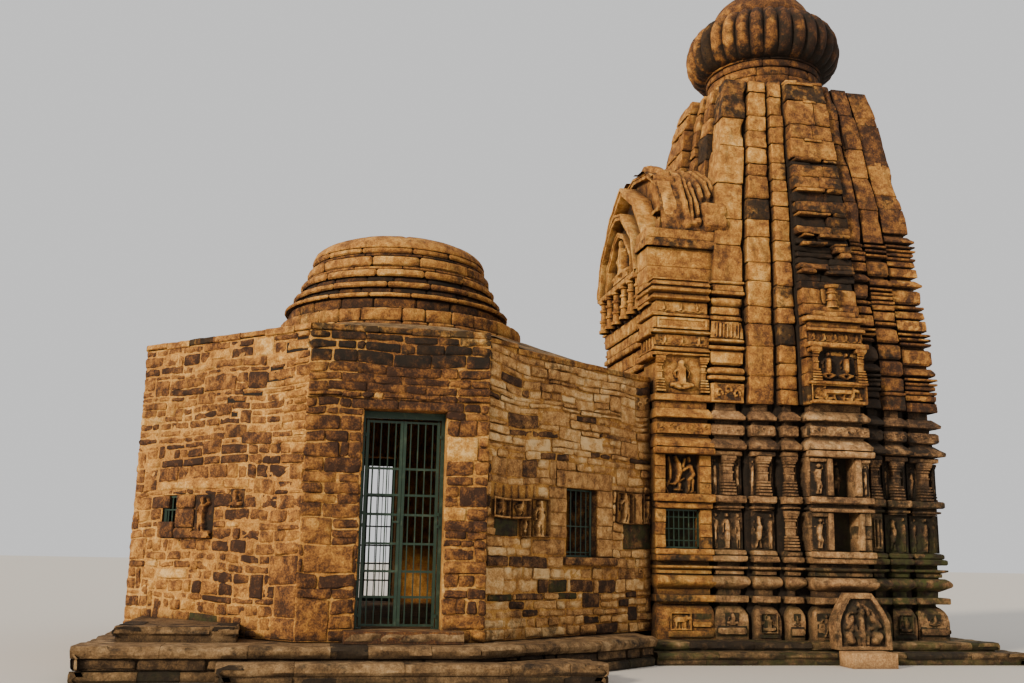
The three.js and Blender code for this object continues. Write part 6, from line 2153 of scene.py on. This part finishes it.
# A crouching beast between broken blocks, as strokes
ROOF_BEAST = ((0.10, 0.80, 0.24, 0.72, 0.17), (0.24, 0.72, 0.32, 0.66, 0.10), (0.00, 0.55, 0.33, 0.55, 0.06),
              (0.32, 0.94, 0.44, 0.62, 0.11), (0.40, 0.62, 0.38, 0.34, 0.09), (0.38, 0.34, 0.41, 0.06, 0.08),
              (0.46, 0.60, 0.48, 0.30, 0.06), (0.48, 0.30, 0.47, 0.10, 0.06), (0.54, 0.46, 0.57, 0.16, 0.07),
              (0.38, 0.05, 0.58, 0.08, 0.08), (0.58, 0.94, 0.65, 0.66, 0.09), (0.65, 0.66, 0.67, 0.34, 0.08),
              (0.72, 0.96, 0.79, 0.66, 0.09), (0.79, 0.66, 0.80, 0.36, 0.08), (0.88, 0.80, 0.90, 0.45, 0.10),
              (0.70, 0.20, 0.96, 0.20, 0.16), (0.70, 0.08, 0.96, 0.08, 0.14))


def draped_panel(heap, place, wide, strokes, deep, tint):
    """A carved panel on a bent surface whose height is given as a share from 0 to 1."""
    columns, rows = 58, 50
    s, t = np.meshgrid(np.linspace(0, 1, columns + 1), np.linspace(0, 1, rows + 1))
    height = np.zeros_like(s)
    for a0, b0, a1, b1, thick in strokes:
        length = max(1e-6, (a1 - a0) ** 2 + (b1 - b0) ** 2)
        k = np.clip(((s - a0) * (a1 - a0) + (t - b0) * (b1 - b0)) / length, 0, 1)
        away = np.hypot(s - a0 - k * (a1 - a0), t - b0 - k * (b1 - b0))
        share = np.clip((1 - away / (thick * 0.55)) * 2.4, 0, 1)
        height = np.maximum(height, share * (0.6 + thick * 3))
    points = np.empty((rows + 1, columns + 1, 3))
    for spot in np.ndindex(rows + 1, columns + 1):
        here = place(s[spot] * wide, t[spot], 0)
        n = 0.015 + deep * height[spot] + 0.020 * rough(here, 5) + 0.014 * rough(here, 13)
        points[spot] = place(s[spot] * wide, t[spot], n)
    # painted shade: the ground between the raised strokes is darker and more stained
    raised = np.clip(height * 1.4, 0, 1)
    tints = np.stack([tint[0] - 0.16 * (1 - raised), tint[1] + 0.35 * (1 - raised), np.zeros_like(raised)],
                     axis=-1)
    heap.grid(points, np.clip(tints, 0, 1))


# Neck, ribbed disc and crown


# The neck's courses, as in the dome's
NECK_COURSES = ((10.09, 10.30, 1.10, 12, 0.50, 0.2), (10.30, 10.46, 1.085, 11, 0.58, 0.1),
                (10.46, 10.63, 1.075, 12, 0.55, 0.15), (10.63, 10.76, 1.10, 10, 0.45, 0.5),
                (10.76, 10.80, 1.13, 9, 0.40, 0.6))


def neck():
    """Rings of stones round a core painted dark as shade, under the disc."""
    rng = random.Random(71)
    heap = Heap()
    for low, high, radius, count, light, soot in NECK_COURSES:
        ring_course(heap, DISC_X, radius, low, high, count, rng, light, soot, 0.015, back=-0.12)
    round_shell(heap, DISC_X, [(1.02, 10.09), (1.02, 10.80)], 48, (0.15, 0.6, 0))
    heap.build("neck_courses", carved, "carved_stone", instead_of=("neck",))


def ribbed_disc():
    """A thick flattened disc of rounded lobes, with dips between them along its upper edge."""
    heap = Heap()
    lobes, fine = 32, 10
    profile = ((1.09, 10.79), (1.20, 10.80), (1.31, 10.86), (1.395, 10.95), (1.452, 11.06), (1.478, 11.18),
               (1.482, 11.28), (1.468, 11.40), (1.432, 11.52), (1.38, 11.62), (1.30, 11.71), (1.19, 11.79),
               (1.06, 11.84), (0.96, 11.855))
    rng = random.Random(81)
    shades = [stone_tint(rng, 0.50, 0.10, 0.10) for _ in range(lobes)]

    def lobe(here, j, i):
        radius, height = profile[j]
        k = i // fine
        wave = abs(math.sin(math.pi * i / fine))
        deep = 0.125 * math.sin(math.pi * min(1, max(0, (height - 10.78) / 1.09))) ** 0.5
        out = radius - deep * (1 - wave ** 0.62) + 0.008 * rough(here, 6) + 0.006 * rough((k, j * 0.2, 0),
                                                                                          1.9)
        dip = 0.075 * (1 - wave) * band(height, 11.62, 11.82, 0.04)
        light, stain, green = shades[k]
        # painted shade in the grooves between the lobes and on the disc's underside
        groove_shade, under = 1 - wave ** 0.5, smooth_step((11.15 - height) / 0.3)
        tint = (light - 0.18 * groove_shade - 0.12 * under, min(1, stain + 0.5 * groove_shade + 0.25 * under), green)
        return out, height - dip + 0.004 * rough(here, 9), tint

    round_shell(heap, DISC_X, profile, lobes * fine, lobe)
    heap.build("disc_lobes", carved, "carved_stone", instead_of=("ribbed_disc",))


def crown():
    """The rounded cone over the disc, its small neck and bud."""
    heap = Heap()
    profile = ((0.90, 11.85), (0.955, 11.855), (0.965, 11.90), (0.97, 11.96), (0.955, 12.02), (0.925, 12.09),
               (0.88, 12.17), (0.82, 12.25), (0.745, 12.32), (0.66, 12.39), (0.60, 12.44), (0.575, 12.455),
               (0.555, 12.49), (0.48, 12.55), (0.395, 12.595), (0.30, 12.625), (0.22, 12.645), (0.18, 12.67),
               (0.168, 12.71), (0.19, 12.745), (0.232, 12.79), (0.25, 12.84), (0.248, 12.89), (0.225, 12.94),
               (0.18, 12.985), (0.12, 13.02), (0.085, 13.045), (0.07, 13.08), (0.055, 13.12), (0.03, 13.145),
               (0.002, 13.155))

    def worn(here, j, i):
        radius, height = profile[j]
        tint = (0.50 + 0.05 * rough(here, 2), 0.12 + 0.2 * max(0, rough(here, 3)), 0)
        return radius * (1 + 0.006 * rough(here, 3)) + 0.003 * rough(here, 11), height, tint

    round_shell(heap, DISC_X, profile, 72, worn)
    heap.build("crown_stone", carved, "carved_stone", instead_of=("crown",))


def medallion():
    """The big carved wheel that leans on the tower's foot over the loose block."""
    heap = Heap()
    lean, wide, high = 0.10, 0.92, 0.84
    x0, y0, z0 = 6.90, -2.72, 0.225

    def place(u, v, n):
        return Vector((x0 + u, y0 - n + v * lean, z0 + v))

    columns, rows = 44, 42
    strokes = (*wheel(9, 0.30), (0.5, 0.10, 0.5, 0.58, 0.09), (0.5, 0.66, 0.5, 0.68, 0.12),
               (0.43, 0.1, 0.38, 0.40, 0.07), (0.57, 0.1, 0.62, 0.40, 0.07), (0.28, 0.16, 0.24, 0.26, 0.13),
               (0.72, 0.16, 0.78, 0.24, 0.14), (0.30, 0.52, 0.22, 0.40, 0.10), (0.70, 0.55, 0.80, 0.42, 0.10),
               (0.36, 0.72, 0.44, 0.80, 0.08))
    s, t = np.meshgrid(np.linspace(0, 1, columns + 1), np.linspace(0, 1, rows + 1))
    heights = stroke_heights(s, t, 1, 1, strokes, 0.6, 0.5) / 0.6
    points = np.empty((rows + 3, columns + 3, 3))
    tints = np.empty((rows + 3, columns + 3, 3))
    for j, i in np.ndindex(rows + 3, columns + 3):
        a, b = min(columns, max(0, i - 1)), min(rows, max(0, j - 1))
        v = t[b, a]
        # upright jambs, with shoulders that slope to a flat head
        limit = 0.5 if v < 0.45 else 0.5 - 0.29 * ((v - 0.45) / 0.55) ** 1.3
        rim = min((0.5 - abs(s[b, a] - 0.5)) * 2 * limit * wide, (1 - v) * high)
        u = 0.5 + (s[b, a] - 0.5) * 2 * limit
        framed = rim < 0.085 or v * high < 0.04
        rise = 0.065 if framed else 0.012 + heights[b, a] * 0.75
        if i in (0, columns + 2) or j in (0, rows + 2):
            points[j, i] = place(u * wide, v * high, -0.16)
        else:
            here = place(u * wide, v * high, rise)
            points[j, i] = place(u * wide, v * high, rise + 0.009 * rough(here, 8))
        # painted shade: the sunk ground is darker and stained, the frame and the carving lighter
        raised = 1.0 if framed else min(1.0, heights[b, a] * 9)
        tints[j, i] = (0.34 + 0.24 * raised, 0.60 - 0.52 * raised, 0.1)
    heap.grid(points, np.clip(tints, 0, 1))
    heap.build("leaning_medallion", aged, "carved_stone")


# Gate and window bars


def bar(heap, a, b, half):
    """A square bar from a to b."""
    a, b = Vector(a), Vector(b)
    way = (b - a).normalized()
    side = way.cross(Vector((0, 1, 0)) if abs(way.y) < 0.9 else Vector((1, 0, 0))).normalized()
    other = way.cross(side)
    ring = [side * half * i + other * half * k for i, k in ((1, 1), (-1, 1), (-1, -1), (1, -1))]
    heap.grid(np.array([[tuple(end + r) for r in ring] for end in (a, b)]), (0.5, 0, 0), wrap=True)


def window_bars():
    """Upright bars and cross rails in the small windows, and the grille of the antechamber's niche."""
    heap = Heap()
    for back in (False, True):
        place, length = hall_place(LEFT_FROM, LEFT_TO, back)
        hole = LEFT_HOLES[0] if back else flipped(LEFT_HOLES, length)[0]
        grille(heap, place, *hole, 4, (0.33, 0.66), 0.012, -0.05)
        place, length = hall_place(RIGHT_FROM, RIGHT_TO, back)
        hole = flipped(RIGHT_HOLES, length)[0] if back else RIGHT_HOLES[0]
        grille(heap, place, *hole, 6, (0.07, 0.45), 0.009, -0.12)
        place, length = hall_place(ANTE_FROM, ANTE_TO, back)
        left, right = (0.19, 0.17) if back else (0.17, 0.19)
        grille(heap, place, left, length - right, 1.70, 2.31, 7, (0.2, 0.5, 0.8), 0.008, -0.15)
    heap.build("window_bars", steel, "gate_paint", sharp=30)


def grille(heap, place, u0, u1, v0, v1, count, rails, half, n):
    """A frame with upright bars and, in front of them, rails at shares of its height."""
    rim = half * 1.5

    def upright(u, thick):
        bar(heap, place(u, v0, n), place(u, v1, n), thick)

    def rail(v, out, thick):
        bar(heap, place(u0, v, out), place(u1, v, out), thick)

    for u in (u0 + rim, u1 - rim):
        upright(u, rim)
    for v in (v0 + rim, v1 - rim):
        rail(v, n, rim)
    for k in range(1, count):
        upright(u0 + (u1 - u0) * k / count, half * 0.8)
    for share in rails:
        rail(v0 + (v1 - v0) * share, n + half, half * 0.8)


def gate_details():
    """Small lugs at the hinges and a hasp between the leaves."""
    frame_bits, left_bits, right_bits = Heap(), Heap(), Heap()
    y = -3.843
    for z in (0.74, 1.9, 2.06, 3.1):
        bar(frame_bits, (-0.43, y, z), (-0.40, y, z), 0.022)
        bar(frame_bits, (0.57, y, z), (0.60, y, z), 0.022)
    bar(left_bits, (-0.02, y + 0.002, 1.95), (0.07, y + 0.002, 1.95), 0.012)
    bar(right_bits, (0.10, y, 1.90), (0.10, y, 2.00), 0.012)
    frame_bits.build("hinge_lugs", steel, "gate_paint", sharp=30)
    left_bits.build("left_hasp", steel, "gate_paint", body="left_gate_leaf", sharp=30)
    right_bits.build("right_staple", steel, "gate_paint", body="right_gate_leaf", sharp=30)


def paint_nodes():
    """Materials of the CAD nodes that still show. The walls' inner faces are mortared."""
    looks = {"front_wall_over_door": over_door_mortar, "foot_block": tan_block}
    for look, names in ((steel, ("gate_frame", "gate_leaf_left", "gate_leaf_right", "back_gate",
                                 "west_gate")),
                        (plain_paving, ("hall_floor", "cell_floor")),
                        (shade, ("front_threshold", "back_threshold")),
                        (inner, ("cell_door_wall", "cell_ceiling", "antechamber_ceiling"))):
        looks.update(dict.fromkeys(names, look))
    for name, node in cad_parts.items():
        look = looks.get(name, mortar if "left" in name else dull_mortar)
        if not node.material_slots:
            node.data.materials.append(look)
        for place in node.material_slots:
            place.material = look


# Camera, light and floor


def make_camera():
    """The camera that the photograph was taken with."""
    forward = Vector((math.sin(YAW) * math.cos(PITCH), math.cos(YAW) * math.cos(PITCH), math.sin(PITCH)))
    right = Vector((math.cos(YAW), -math.sin(YAW), 0))
    up = right.cross(forward)
    side = right * math.cos(ROLL) + up * math.sin(ROLL)
    head = up * math.cos(ROLL) - right * math.sin(ROLL)
    data = bpy.data.cameras.new("camera")
    data.lens, data.sensor_width = LENS, SENSOR
    data.clip_end = 500
    camera = bpy.data.objects.new("camera", data)
    camera.matrix_world = Matrix.Translation(EYE) @ Matrix((side, head, -forward)).transposed().to_4x4()
    bpy.context.scene.collection.objects.link(camera)
    bpy.context.scene.camera = camera


def make_light():
    """A soft warm key from the left and a pale sky all round."""
    key = bpy.data.lights.new("key", "SUN")
    key.energy, key.angle = 3.9, math.radians(7)
    key.color = (1.0, 0.86, 0.66)
    lamp = bpy.data.objects.new("key", key)
    lamp.rotation_mode = "QUATERNION"
    lamp.rotation_quaternion = Vector((-0.76, -0.55, 0.34)).to_track_quat("Z", "Y")
    bpy.context.scene.collection.objects.link(lamp)
    world = bpy.data.worlds.new("sky")
    world.use_nodes = True
    sky = world.node_tree.nodes["Background"]
    sky.inputs["Color"].default_value = (0.86, 0.86, 0.86, 1)
    sky.inputs["Strength"].default_value = 0.95
    bpy.context.scene.world = world


def make_floor():
    """A plain pale floor, which isn't part of the object."""
    mesh = bpy.data.meshes.new("floor")
    far = 120
    mesh.from_pydata([(-far, -far, 0), (far, -far, 0), (far, far, 0), (-far, far, 0)], [], [(0, 1, 2, 3)])
    floor = bpy.data.objects.new("floor", mesh)
    floor.location.z = -0.002
    bpy.context.scene.collection.objects.link(floor)
    paint = bpy.data.materials.new("floor_paint")
    paint.use_nodes = True
    shader = paint.node_tree.nodes["Principled BSDF"]
    shader.inputs["Base Color"].default_value = (0.62, 0.58, 0.52, 1)
    shader.inputs["Roughness"].default_value = 0.9
    mesh.materials.append(paint)


def antechambers():
    """The antechamber's two side walls."""
    for back, side in ((False, "front"), (True, "back")):
        heap = Heap()
        antechamber(heap, back, random.Random(45))
        heap.build(f"{side}_antechamber_carving", carved, "carved_stone",
                   instead_of=(f"{side}_antechamber_wall",))


paint_nodes()
hall_walls()
coping()
roof()
dome()
plinths()
antechambers()
tower()
gable()
neck()
ribbed_disc()
crown()
medallion()
window_bars()
gate_details()
make_camera()
make_light()
make_floor()
